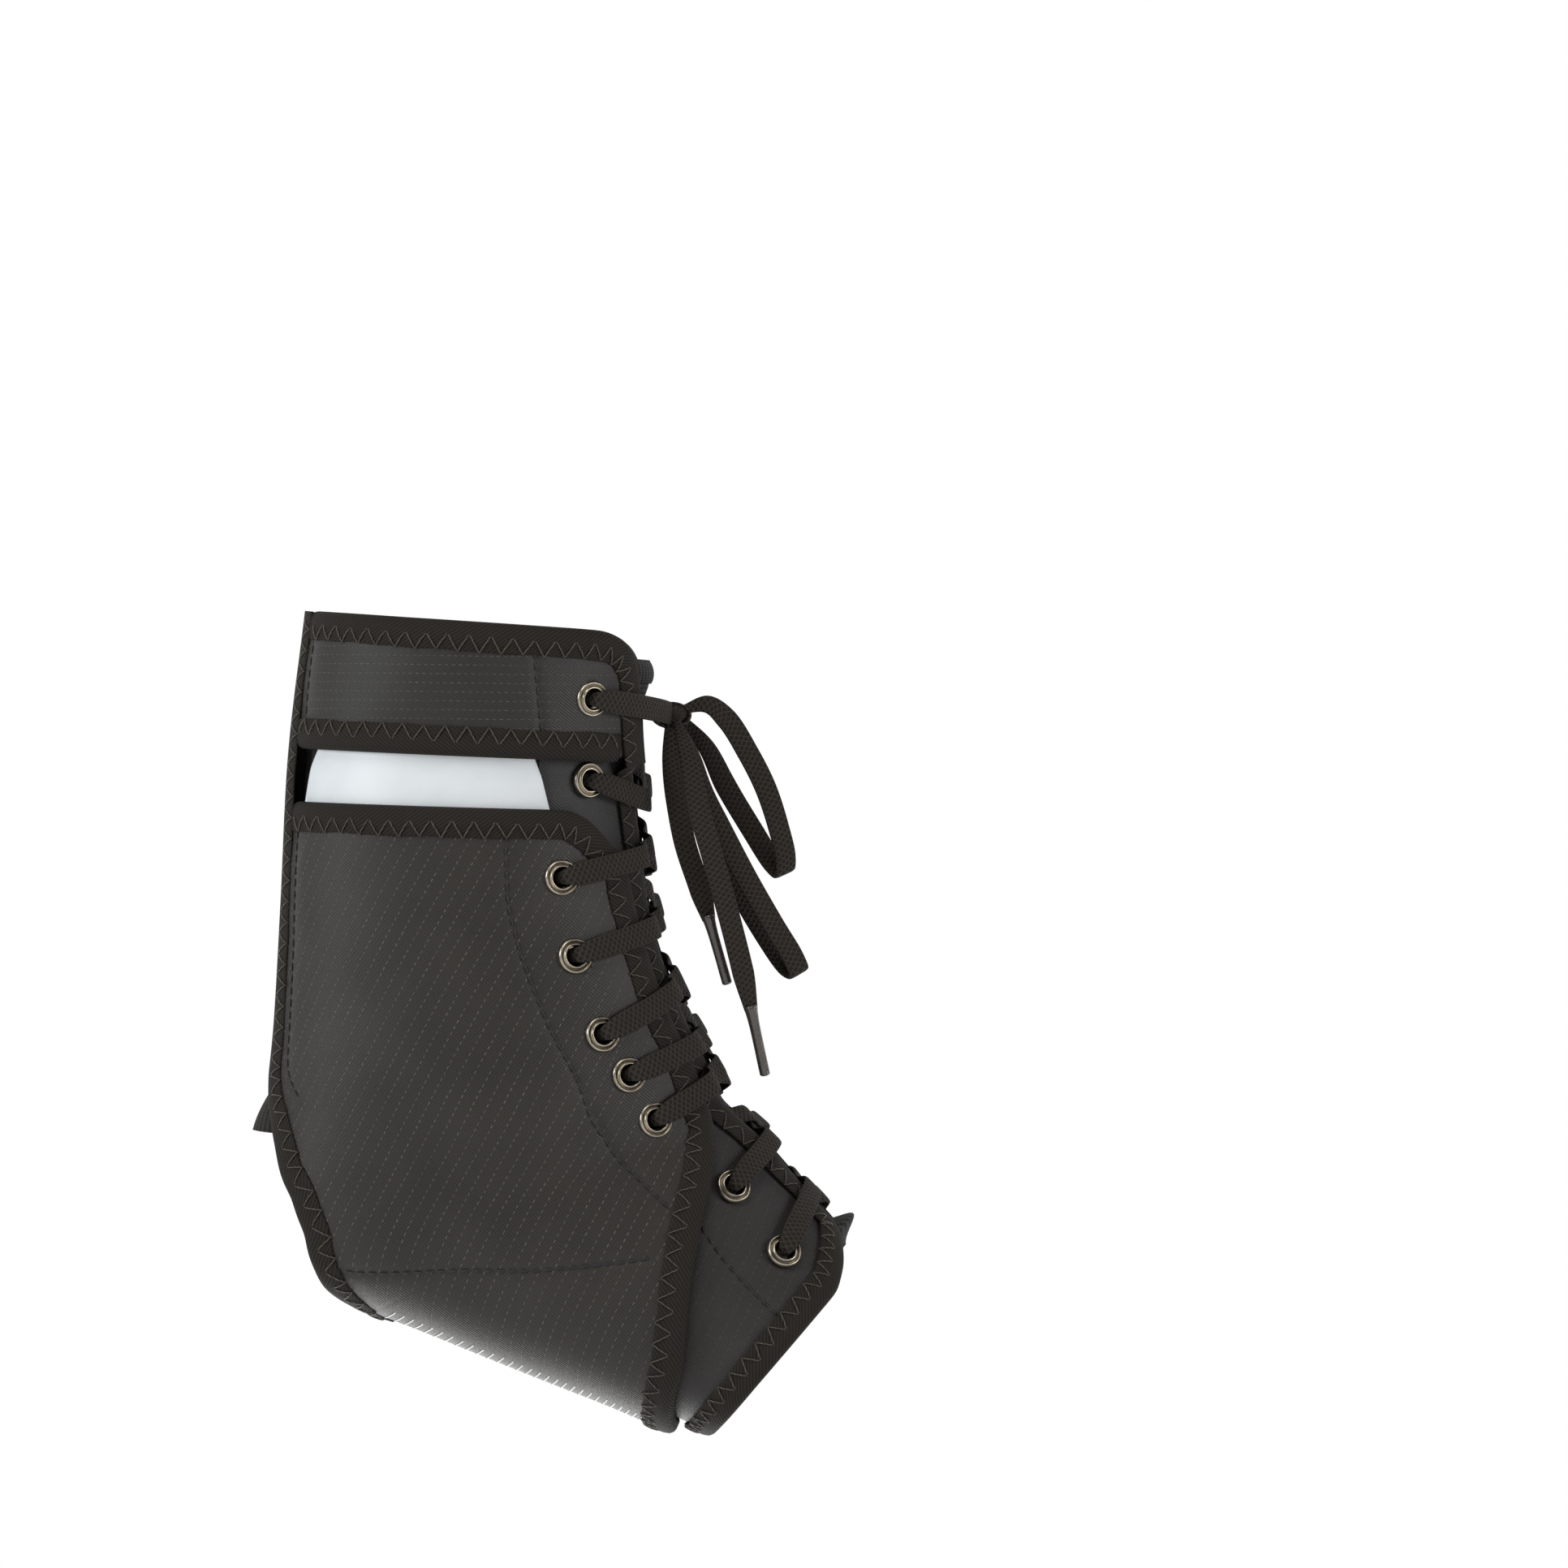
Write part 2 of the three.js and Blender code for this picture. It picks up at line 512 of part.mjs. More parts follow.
// The lace through an eyelet: in from below, up the barrel and out over the flange. spin is +1 or
// -1: each eyelet turns the lace over once.
function laceThroat(eyelet, side, inward, outward, spin) {
  const { normal } = innerSlopes(eyelet.along, eyelet.around, side);
  const centre = innerPoint(eyelet.along, eyelet.around, side);
  const top = layerTop(eyelet) + 0.5 + EYELET.rise;
  const faceIn = inward.clone().negate();
  const ring = (height, push, share, tilt, width, thickness) => {
    const face = faceIn.clone().lerp(outward, share).normalize();
    const where = centre.clone().addScaledVector(normal, height).addScaledVector(face, push);
    const through = face.clone().multiplyScalar(Math.cos(tilt)).addScaledVector(normal, Math.sin(tilt));
    const across = new THREE.Vector3().crossVectors(normal, face);
    return laceRing(where, across.multiplyScalar(spin), through.multiplyScalar(spin), width, thickness);
  };
  return [
    ring(UNDER + 0.4, 0.7, 0, Math.PI / 4, 3.6, LACE.thickness),
    ring(-0.2, 0, 0.3, 0, LACE.throat, 1.2),
    ring(top - 0.4, 0, 0.7, 0, LACE.throat, 1.2),
    ring(top + 0.45, 0.7, 1, -Math.PI / 4, 4.2, LACE.thickness),
  ];
}

// The whole of one half lace, from the bar under the lowest eyelets up to the knot
function halfLace(firstSide, leader) {
  const rings = [];
  let side = firstSide;
  let spin = 1;
  const positions = (stations) => stations.map((s) => onInner(s.along, s.around, s.lift, s.side));
  const flatten = (vector, normal) => vector.clone().addScaledVector(normal, -vector.dot(normal)).normalize();
  const lay = (stations, before, after, hand) => {
    const run = [before, ...positions(stations), after];
    stations.forEach((station, i) => {
      const { normal } = innerSlopes(station.along, station.around, station.side);
      const across = new THREE.Vector3().crossVectors(normal, run[i + 2].clone().sub(run[i]));
      rings.push(laceRing(run[i + 1], across.multiplyScalar(hand), normal.multiplyScalar(-hand),
        station.width, LACE.thickness));
    });
  };

  const lowest = eyelets.at(-1);
  const reach = lowest.around * halfGirth(lowest.along);
  const bar = [[0.2, -0.4], [6, -0.9], [10, UNDER], [reach * 0.6, UNDER], [reach - 3.5, UNDER]].map(([d, lift]) => (
    { along: lowest.along, around: shareOf(lowest.along, d), lift, width: LACE.width, side }));
  let lead = bar;
  for (let n = eyelets.length - 1; n >= 0; n -= 1) {
    const eyelet = eyelets[n];
    const { normal } = innerSlopes(eyelet.along, eyelet.around, side);
    const centre = innerPoint(eyelet.along, eyelet.around, side);
    const leadPoints = positions(lead);
    if (n === eyelets.length - 1) lay(bar, leadPoints[0], centre, -spin);
    const next = n > 0 ? laceLeg(eyelet, eyelets[n - 1], side, leader) : knotLeg(eyelet, side);
    const nextPoints = positions(next);
    const inward = flatten(centre.clone().sub(leadPoints.at(-1)), normal);
    const outward = flatten(nextPoints[0].clone().sub(centre), normal);
    rings.push(...laceThroat(eyelet, side, inward, outward, spin));
    const beyond = n > 0 ? innerPoint(eyelets[n - 1].along, -eyelets[n - 1].around, side) : nextPoints.at(-1);
    lay(next, centre, beyond, spin);
    side = -side;
    spin = -spin;
    lead = next;
  }
  return sweep(rings, LACE_OUTLINE);
}

// The last run of a half lace, from the top eyelet over the edge to the knot
function knotLeg(eyelet, side) {
  const start = eyelet.around * halfGirth(eyelet.along);
  const alongAt = (d) => eyelet.crossing + (eyelet.along - eyelet.crossing) * (d / start);
  const first = start - LEG.leave;
  const steps = Math.ceil((first - FRONT_HALF_GAP) / LACE.step);
  const run = Array.from({ length: steps + 1 }, (_, i) => first - ((first - FRONT_HALF_GAP) * i) / steps);
  return [...run, KNOT.entry].map((d) => (
    { along: alongAt(d), around: shareOf(alongAt(d), d), lift: OVER_OVERLAY, width: LACE.width, side }));
}

// Bow pieces
const knotCentre = onInner(KNOT.along, 0, KNOT.lift, NEAR);

function bowPlace(row) {
  return knotCentre.clone().add(new THREE.Vector3(row.ahead * BOW_REACH, row.aside * BOW_REACH, -row.below * BOW_DROP));
}
// The share of the way to a place that lies on the knot's outside, with its clearance
function leaving(row) {
  const away = bowPlace(row).sub(knotCentre);
  const [x, y, z] = away.toArray().map((value, i) => value / KNOT.radii[i]);
  return 1 / Math.hypot(x, y, z) + KNOT.clearance / away.length();
}
function atKnot(values) {
  const share = leaving(named(BOW_COLUMNS, values));
  return values.map((value, i) => (i < 3 ? value * share : value));
}
function ribbon(table, closed) {
  const held = table.map((row, i) => (i === 0 || (closed && i === table.length - 1) ? atKnot(row) : row));
  const rows = smoothPath(held, 2).map((row) => named(BOW_COLUMNS, row));
  const places = rows.map(bowPlace);
  const rings = rows.map((row, i) => {
    const ahead = places[Math.min(i + 1, rows.length - 1)].clone().sub(places[Math.max(i - 1, 0)]).normalize();
    const sideways = new THREE.Vector3(0, 1, 0).addScaledVector(ahead, -ahead.y).normalize();
    const upright = new THREE.Vector3().crossVectors(ahead, sideways);
    const turn = THREE.MathUtils.degToRad(row.turn);
    const across = sideways.clone().multiplyScalar(Math.cos(turn)).addScaledVector(upright, Math.sin(turn));
    return laceRing(places[i], across, new THREE.Vector3().crossVectors(ahead, across),
      LACE.width * row.width, LACE.thickness);
  });
  return sweep(rings, LACE_OUTLINE);
}
function aglet(table) {
  const [before, last] = table.slice(-2).map((row) => bowPlace(named(BOW_COLUMNS, row)));
  const axis = last.clone().sub(before).normalize();
  return rod(last, axis, AGLET.radius, 0.35, 0.35 + AGLET.length, AGLET.sides);
}
function knotBall() {
  const rings = [-66, -33, 0, 33, 66].map((latitude) => {
    const a = THREE.MathUtils.degToRad(latitude);
    return Array.from({ length: 10 }, (_, i) => {
      const b = (2 * Math.PI * i) / 10;
      return knotCentre.clone().add(new THREE.Vector3(
        KNOT.radii[0] * Math.cos(a) * Math.cos(b), KNOT.radii[1] * Math.cos(a) * Math.sin(b),
        KNOT.radii[2] * Math.sin(a)));
    });
  });
  return sweep(rings, Array.from({ length: 10 }, (_, i) => [Math.cos(0.2 * Math.PI * i), Math.sin(0.2 * Math.PI * i)]));
}

// Assembly
const assembly = new THREE.Group();
assembly.name = 'ankle_brace';

function place(name, geometry, material) {
  const mesh = new THREE.Mesh(geometry, new THREE.MeshStandardMaterial(MATERIALS[material]));
  mesh.name = name;
  assembly.add(mesh);
}

// Stations of a path straight across the grid, at the grid's own columns
function runAcross(along, from, to) {
  const inside = COLUMNS.filter((k) => k > Math.min(from, to) + 0.02 && k < Math.max(from, to) - 0.02);
  const ordered = from > to ? inside.reverse() : inside;
  return [from, ...ordered, to].map((around) => [along, around]);
}

// The rows with one more halfway between any two that lie between two places
function withHalves(rows, from, to) {
  return rows.flatMap((along, i) => (
    i > 0 && rows[i - 1] > from && along < to ? [(along + rows[i - 1]) / 2, along] : [along]));
}

for (const [label, side] of [['near', NEAR], ['far', FAR]]) {
  const base = panel(BASE_ROWS, baseFront, baseBack, 0, SHELL, side);
  place(`base_shell_${label}`, pierced(base, eyelets, side), 'shell');

  const band = panel(BAND_ROWS, baseFront, baseBack, OVERLAY_LIFT, OVERLAY_TOP, side);
  place(`top_band_${label}`, pierced(band, eyelets.slice(0, 1), side), 'overlay');

  const pocket = panel(OVERLAY_ROWS, overlayFront, baseBack, OVERLAY_LIFT, OVERLAY_TOP, side);
  const pocketEyelets = eyelets.filter((e) => e.layer === 'overlay' && e.along > OVERLAY_START);
  place(`pocket_panel_${label}`, pierced(pocket, pocketEyelets, side), 'overlay');

  const stayFront = (along) => between(STAY_FRONT, along);
  const stayBack = (along) => between(STAY_BACK, along);
  place(`stay_${label}`, panel(STAY_ROWS, stayFront, stayBack, STAY_LIFT, STAY_LIFT + STAY, side), 'stay');

  const rearRows = withHalves(BASE_ROWS, 0.3, 0.66).filter((along) => along > 0.01 && along < 0.66);
  const rearPath = [
    [-0.003, baseBack(0)], ...rearRows.map((along) => [along, baseBack(along)]),
    [0.67, baseBack(0.67)], [0.682, 0.97], [0.688, seamEdge(0.688)],
  ];
  place(`rear_tape_${label}`, edgeTape(rearPath, () => tapeProfile(0, OVERLAY_TOP), 1, side), 'tape');

  const clear = BACK_HALF_GAP + TAPE_WIDTH + 0.8;
  const topStart = 1 - shareOf(0, clear);
  const basePath = [
    ...runAcross(0, topStart, baseFront(0)),
    ...[...BASE_ROWS, BAND_END + 0.003, BAND_END + 0.0045].sort((a, b) => a - b).filter((along) => along > 0)
      .map((along) => [along, baseFront(along)]),
    ...runAcross(FOREFOOT_END, baseFront(FOREFOOT_END), seamEdge(FOREFOOT_END)).slice(1),
  ];
  const baseTop = (along) => tapeProfile(0, along < BAND_END + 0.004 ? OVERLAY_TOP : SHELL);
  place(`base_tape_${label}`, edgeTape(basePath, baseTop, -1, side), 'tape');

  const bandPath = runAcross(BAND_END, 1 - shareOf(BAND_END, clear),
    baseFront(BAND_END) + shareOf(BAND_END, TAPE_WIDTH + 2));
  place(`band_tape_${label}`, edgeTape(bandPath, () => tapeProfile(OVERLAY_LIFT, OVERLAY_TOP), 1, side), 'tape');

  const pocketPath = [
    ...runAcross(OVERLAY_START, 1 - shareOf(OVERLAY_START, clear), overlayFront(OVERLAY_START)),
    ...withHalves(OVERLAY_ROWS, 0.7, 0.885).slice(1).map((along) => [along, overlayFront(along)]),
    [OVERLAY_END + 0.002, seamEdge(OVERLAY_END)],
  ];
  place(`pocket_tape_${label}`, edgeTape(pocketPath, () => tapeProfile(OVERLAY_LIFT, OVERLAY_TOP), -1, side), 'tape');

  eyelets.forEach((eyelet, i) => place(`eyelet_${label}_${i + 1}`, eyeletRing(eyelet, side), 'eyelet'));
}

// The tongue lies under both front edges, fills the gap between them and stands out at its top
const tongueLift = (along, around) => {
  const top = Math.max(0, 1 - along / TONGUE_TOP.end);
  const d = (around * halfGirth(along)) / (FRONT_HALF_GAP * (1 + 0.5 * top));
  return TONGUE_LIFT + (TONGUE_BULGE + TONGUE_TOP.bulge * top) * Math.max(0, 1 - d * d);
};
const tongueEdge = (along) => shareOf(along, TONGUE_HALF_WIDTH);
place('tongue', panel(TONGUE_ROWS, (along) => -tongueEdge(along), tongueEdge,
  (along, around) => tongueLift(along, around) - TONGUE, tongueLift, NEAR), 'tongue');

const bindingFace = (along, around) => tongueLift(along, around) + TONGUE_TOP.bindingGap;
place('tongue_binding', panel([TONGUE_ROWS[0], TONGUE_ROWS[0] + TONGUE_TOP.binding], (along) => -tongueEdge(along),
  tongueEdge, bindingFace, (along, around) => bindingFace(along, around) + TONGUE_TOP.bindingThickness, NEAR), 'tape');

const webEdge = (along) => shareOf(along, WEB_HALF_WIDTH);
place('rear_web', panel(WEB_ROWS, (along) => 1 - webEdge(along), (along) => 1 + webEdge(along),
  WEB_LIFT - BACK_WEB, WEB_LIFT, NEAR), 'web');

place('lace_from_near', halfLace(NEAR, true), 'lace');
place('lace_from_far', halfLace(FAR, false), 'lace');
place('lace_knot', knotBall(), 'lace');
place('lace_loop_upper', ribbon(UPPER_LOOP, true), 'lace');
place('lace_loop_lower', ribbon(LOWER_LOOP, true), 'lace');
place('lace_end_short', ribbon(NEAR_END, false), 'lace');
place('lace_end_long', ribbon(FAR_END, false), 'lace');
place('aglet_short', aglet(NEAR_END), 'aglet');
place('aglet_long', aglet(FAR_END), 'aglet');

export default assembly;
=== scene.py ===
import bpy
import numpy as np
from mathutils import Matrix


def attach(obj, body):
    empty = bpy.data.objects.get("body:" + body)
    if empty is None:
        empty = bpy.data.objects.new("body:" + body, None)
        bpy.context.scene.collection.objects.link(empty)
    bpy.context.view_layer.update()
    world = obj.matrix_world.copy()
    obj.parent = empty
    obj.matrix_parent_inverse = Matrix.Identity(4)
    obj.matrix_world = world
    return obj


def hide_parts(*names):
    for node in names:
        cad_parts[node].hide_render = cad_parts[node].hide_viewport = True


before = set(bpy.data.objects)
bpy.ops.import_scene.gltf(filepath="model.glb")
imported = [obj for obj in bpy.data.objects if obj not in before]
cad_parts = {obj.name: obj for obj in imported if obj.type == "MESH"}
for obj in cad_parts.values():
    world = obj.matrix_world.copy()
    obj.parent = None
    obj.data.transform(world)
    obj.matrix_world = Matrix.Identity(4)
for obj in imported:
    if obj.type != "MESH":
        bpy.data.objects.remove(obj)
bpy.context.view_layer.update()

# Camera
# Level with the middle of the brace and far away, looking at its outer side. Places are in
# millimetres here and below, and a piece turns into metres when its mesh is made.
PICTURE_WIDTH = 405.7
SENSOR_WIDTH = 36.0
CAMERA_DISTANCE = 3000.0
CAMERA_AIM = (85.3, 76.4)


def make_camera():
    data = bpy.data.cameras.new("camera")
    data.sensor_width = SENSOR_WIDTH
    data.lens = SENSOR_WIDTH * CAMERA_DISTANCE / PICTURE_WIDTH
    data.clip_end = 20.0
    camera = bpy.data.objects.new("camera", data)
    camera.location = (CAMERA_AIM[0] / 1000, -CAMERA_DISTANCE / 1000, CAMERA_AIM[1] / 1000)
    camera.rotation_euler = (np.pi / 2, 0.0, 0.0)
    bpy.context.scene.collection.objects.link(camera)
    bpy.context.scene.camera = camera


make_camera()

# The bow
# Two loops and two ends of flat braided lace, tied at the knot and hanging from it over the front.
# Each is the same strip of lace swept along its own route.
LACE_WIDTH = 6.0
LACE_THICKNESS = 1.1
KNOT_CENTRE = np.array([56.13, 0.0, 94.20])
KNOT_RADII = np.array([5.2, 4.8, 3.4])
KNOT_DEPTH = 1.3
BOW_SCALE = np.array([34.0, 34.0, -95.0])
TIP_TURN = 45
STEPS_PER_SPAN = 14

# ahead, aside and below as shares of the bow's reach and drop, turn in degrees, share of the width
BOW_ROUTES = {
    "upper": [
        (0.17, 0.00, -0.03, 80, 0.35), (0.27, 0.03, -0.03, 70, 0.8), (0.42, 0.05, 0.01, 70, 1),
        (0.58, 0.07, 0.10, 70, 1), (0.72, 0.09, 0.20, 70, 1), (0.82, 0.11, 0.31, 65, 1),
        (0.87, 0.15, 0.39, 40, 1), (0.86, 0.20, 0.43, 0, 1), (0.79, 0.25, 0.41, -40, 1),
        (0.61, 0.29, 0.31, -70, 1), (0.41, 0.31, 0.19, -70, 1), (0.27, 0.27, 0.09, -70, 0.8),
        (0.16, 0.20, 0.01, -80, 0.35),
    ],
    "lower": [
        (0.10, -0.03, 0.045, 80, 0.35), (0.15, -0.05, 0.11, 70, 0.8), (0.23, -0.11, 0.20, 65, 1),
        (0.38, -0.17, 0.31, 70, 1), (0.57, -0.20, 0.44, 70, 1), (0.78, -0.20, 0.57, 65, 1),
        (0.93, -0.18, 0.66, 40, 1), (0.97, -0.14, 0.70, 0, 1), (0.90, -0.07, 0.69, -40, 1),
        (0.72, 0.00, 0.60, -70, 1), (0.48, 0.04, 0.45, -70, 1), (0.29, 0.06, 0.30, -70, 1),
        (0.19, 0.08, 0.17, -80, 0.8), (0.12, 0.11, 0.045, -80, 0.35),
    ],
    "short": [
        (-0.04, -0.10, 0.050, 80, 0.35), (0.00, -0.19, 0.12, 70, 0.8), (0.04, -0.36, 0.22, 70, 1),
        (0.11, -0.46, 0.35, 70, 1), (0.23, -0.47, 0.48, 70, 1), (0.29, -0.46, 0.555, 70, 0.6),
    ],
    "long": [
        (0.08, -0.19, 0.025, 80, 0.35), (0.13, -0.38, 0.11, 70, 0.8), (0.21, -0.55, 0.25, 70, 1),
        (0.33, -0.58, 0.40, 70, 1), (0.46, -0.56, 0.57, 70, 1), (0.55, -0.52, 0.70, 70, 1),
        (0.61, -0.49, 0.80, 70, 0.6),
    ],
}


def unit(vectors):
    return vectors / np.maximum(np.linalg.norm(vectors, axis=-1, keepdims=True), 1e-9)


def grid_faces(rings, count, wrap):
    """Faces of a grid of rings with count points each; wrap joins a ring's last point to its first."""
    i, j = np.meshgrid(np.arange(rings - 1), np.arange(count if wrap else count - 1), indexing="ij")
    i, j = i.ravel(), j.ravel()
    k = (j + 1) % count
    faces = np.stack([i * count + j, (i + 1) * count + j, (i + 1) * count + k, i * count + k], axis=1)
    corners = np.stack([np.stack([i, j], 1), np.stack([i + 1, j], 1),
                        np.stack([i + 1, j + 1], 1), np.stack([i, j + 1], 1)], axis=1)
    return faces, corners


def end_caps(rings, count):
    """The two many-cornered faces that close a grid of rings at its ends."""
    return [list(range(count))[::-1], list(range((rings - 1) * count, rings * count))]


def make_piece(name, points, faces, material, corner_uv=None, caps=(), replaces=()):
    """A finished mesh piece from points in millimetres. corner_uv gives each corner of each
    four-cornered face its place on the flat cloth, and caps are further faces that close the ends."""
    a, b, c, d = (points[faces[:, k]] for k in range(4))
    volume = np.sum(a * np.cross(b, c)) + np.sum(a * np.cross(c, d))
    if volume < 0:
        faces = faces[:, ::-1]
        caps = [list(cap)[::-1] for cap in caps]
        corner_uv = None if corner_uv is None else corner_uv[:, ::-1]
    if replaces:
        name += "_dressed"
    mesh = bpy.data.meshes.new(name)
    mesh.from_pydata((points / 1000).tolist(), [], faces.tolist() + [list(cap) for cap in caps])
    if corner_uv is not None:
        layer = mesh.uv_layers.new(name="cloth")
        flat = np.zeros((len(mesh.loops), 2), dtype=np.float32)
        flat[:corner_uv.shape[0] * 4] = corner_uv.reshape(-1, 2)
        layer.data.foreach_set("uv", flat.ravel())
    mesh.polygons.foreach_set("use_smooth", np.ones(len(mesh.polygons), dtype=bool))
    mesh.materials.append(material)
    mesh.update()
    piece = bpy.data.objects.new(name, mesh)
    bpy.context.scene.collection.objects.link(piece)
    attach(piece, "root")
    if replaces:
        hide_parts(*replaces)
    return piece


def smooth_path(rows, steps):
    """Points along a smooth curve through rows of numbers, whose first three are a place. Each span
    is a cubic whose end slopes weigh the neighbouring spans by the square root of their length."""
    rows = np.asarray(rows, dtype=float)
    spans = np.sqrt(np.linalg.norm(np.diff(rows[:, :3], axis=0), axis=1)) + 1e-6
    slopes = np.diff(rows, axis=0) / spans[:, None]
    inner = slopes[1:] * spans[:-1, None] + slopes[:-1] * spans[1:, None]
    inner /= (spans[1:] + spans[:-1])[:, None]
    ends = np.vstack([slopes[:1], inner, slopes[-1:]])
    t = np.linspace(0, 1, steps, endpoint=False)[None, :, None]
    p, q = rows[:-1, None, :], rows[1:, None, :]
    m, n = ends[:-1, None, :] * spans[:, None, None], ends[1:, None, :] * spans[:, None, None]
    cubic = (2 * t**3 - 3 * t**2 + 1) * p + (t**3 - 2 * t**2 + t) * m
    cubic = cubic + (3 * t**2 - 2 * t**3) * q + (t**3 - t**2) * n
    return np.vstack([cubic.reshape(-1, rows.shape[1]), rows[-1:]])


def arc_lengths(points):
    """Distance along a path at each of its points."""
    return np.concatenate([[0.0], np.cumsum(np.linalg.norm(np.diff(points, axis=0), axis=1))])


def strip_section(count=16):
    """Outline of a flat braid on a unit square: a rounded oblong with slightly full edges."""
    angle = 2 * np.pi * np.arange(count) / count
    across = np.sign(np.cos(angle)) * np.abs(np.cos(angle)) ** 0.45
    through = np.sign(np.sin(angle)) * np.abs(np.sin(angle)) ** 0.7
    return np.stack([across / 2, through / 2], axis=1)


def strip_mesh(centres, across, through, widths, thickness, section):
    """Points, faces, face corners' flat places and end caps of a strip swept along centres."""
    rings = (centres[:, None, :]
             + section[None, :, :1] * widths[:, None, None] * across[:, None, :]
             + section[None, :, 1:] * thickness[:, None, None] * through[:, None, :])
    n, k = len(centres), len(section)
    faces, corners = grid_faces(n, k, True)
    along = arc_lengths(centres)
    girth = np.append(section[:, 0], section[0, 0])
    uv = np.stack([along[corners[..., 0]], girth[corners[..., 1]] * widths[corners[..., 0]]], axis=-1)
    return rings.reshape(-1, 3), faces, uv, end_caps(n, k)


def calc(tree, operation, *values):
    """One arithmetic node on sockets or plain numbers, which gives its result."""
    node = tree.nodes.new("ShaderNodeMath")
    node.operation = operation
    for socket, value in zip(node.inputs, values):
        if isinstance(value, (int, float)):
            socket.default_value = value
        else:
            tree.links.new(value, socket)
    return node.outputs[0]


def new_group(name, inputs, outputs):
    """An empty node group with its sockets, given as (name, socket type, default value)."""
    group = bpy.data.node_groups.new(name, "ShaderNodeTree")
    for label, kind, default in inputs:
        socket = group.interface.new_socket(label, in_out="INPUT", socket_type=kind)
        if default is not None:
            socket.default_value = default
    for label, kind in outputs:
        group.interface.new_socket(label, in_out="OUTPUT", socket_type=kind)
    return group, group.nodes.new("NodeGroupInput"), group.nodes.new("NodeGroupOutput")


def turned_place(group, given):
    """A group's own place on the cloth, turned by its angle and split into X and Y."""
    turn = group.nodes.new("ShaderNodeVectorRotate")
    turn.rotation_type = "Z_AXIS"
    group.links.new(given.outputs["Place"], turn.inputs["Vector"])
    group.links.new(given.outputs["Angle"], turn.inputs["Angle"])
    split = group.nodes.new("ShaderNodeSeparateXYZ")
    group.links.new(turn.outputs[0], split.inputs[0])
    return split


def place_group(tree, group, place, values):
    """A node of a group with its place and plain values, given by socket name."""
    node = tree.nodes.new("ShaderNodeGroup")
    node.node_tree = group
    tree.links.new(place, node.inputs["Place"])
    for label, value in values.items():
        node.inputs[label].default_value = value
    return node


def thread_lines_group():
    """Parallel threads on flat cloth: a wave across lines that run at an angle, spacing in mm."""
    group, given, result = new_group(
        "thread lines",
        [("Place", "NodeSocketVector", None), ("Angle", "NodeSocketFloat", 0.0),
         ("Spacing", "NodeSocketFloat", 1.0)],
        [("Height", "NodeSocketFloat")])
    split = turned_place(group, given)
    phase = calc(group, "DIVIDE", split.outputs["X"], given.outputs["Spacing"])
    wave = calc(group, "SINE", calc(group, "MULTIPLY", phase, 2 * np.pi))
    group.links.new(calc(group, "MULTIPLY_ADD", wave, 0.5, 0.5), result.inputs["Height"])
    return group


THREAD_LINES = thread_lines_group()


def new_material(name, color, roughness, sheen=0.0, metallic=0.0, specular=0.5):
    """A material, its node tree and the shader that its nodes feed."""
    material = bpy.data.materials.new(name)
    material.use_nodes = True
    tree = material.node_tree
    shader = tree.nodes["Principled BSDF"]
    shader.inputs["Base Color"].default_value = (*color, 1.0)
    shader.inputs["Roughness"].default_value = roughness
    shader.inputs["Metallic"].default_value = metallic
    shader.inputs["Specular IOR Level"].default_value = specular
    shader.inputs["Sheen Weight"].default_value = sheen
    shader.inputs["Sheen Roughness"].default_value = 0.5
    return material, tree, shader


def cloth_place(tree):
    node = tree.nodes.new("ShaderNodeUVMap")
    node.uv_map = "cloth"
    return node.outputs["UV"]


def threads(tree, place, degrees, spacing):
    values = {"Angle": np.radians(degrees), "Spacing": spacing}
    return place_group(tree, THREAD_LINES, place, values).outputs["Height"]


def noise(tree, place, scale, detail=3.0):
    node = tree.nodes.new("ShaderNodeTexNoise")
    node.inputs["Scale"].default_value = scale
    node.inputs["Detail"].default_value = detail
    tree.links.new(place, node.inputs["Vector"])
    return node.outputs["Fac"]


def shade(tree, amount, dark, light):
    """A colour between two by an amount from 0 to 1."""
    node = tree.nodes.new("ShaderNodeMix")
    node.data_type = "RGBA"
    tree.links.new(amount, node.inputs["Factor"])
    for socket, color in ((node.inputs["A"], dark), (node.inputs["B"], light)):
        if isinstance(color, tuple):
            socket.default_value = (*color, 1.0)
        else:
            tree.links.new(color, socket)
    return node.outputs["Result"]


def paint(tree, shader, amount, dark, light):
    """The shader's base colour, between two by an amount from 0 to 1."""
    tree.links.new(shade(tree, amount, dark, light), shader.inputs["Base Color"])


def emboss(tree, shader, height, depth):
    """Bump from a height of 0 to 1 that stands depth metres high."""
    node = tree.nodes.new("ShaderNodeBump")
    node.inputs["Distance"].default_value = depth
    tree.links.new(height, node.inputs["Height"])
    tree.links.new(node.outputs["Normal"], shader.inputs["Normal"])


def braid_material():
    """Flat braid: two sets of threads that cross at a slant, dark, with a little fuzz."""
    material, tree, shader = new_material("lace_braid", (0.016, 0.013, 0.010), 0.75,
                                          sheen=0.02, specular=0.2)
    place = cloth_place(tree)
    up = threads(tree, place, 34, 1.25)
    down = threads(tree, place, -34, 1.25)
    weave = calc(tree, "MAXIMUM", calc(tree, "POWER", up, 2.2), calc(tree, "POWER", down, 2.2))
    fuzz = noise(tree, place, 2.5)
    height = calc(tree, "MULTIPLY_ADD", fuzz, 0.35, weave)
    paint(tree, shader, calc(tree, "MULTIPLY", height, 0.75),
          (0.0040, 0.0032, 0.0024), (0.038, 0.0305, 0.0225))
    emboss(tree, shader, height, 0.00034)
    return material


BRAID = braid_material()


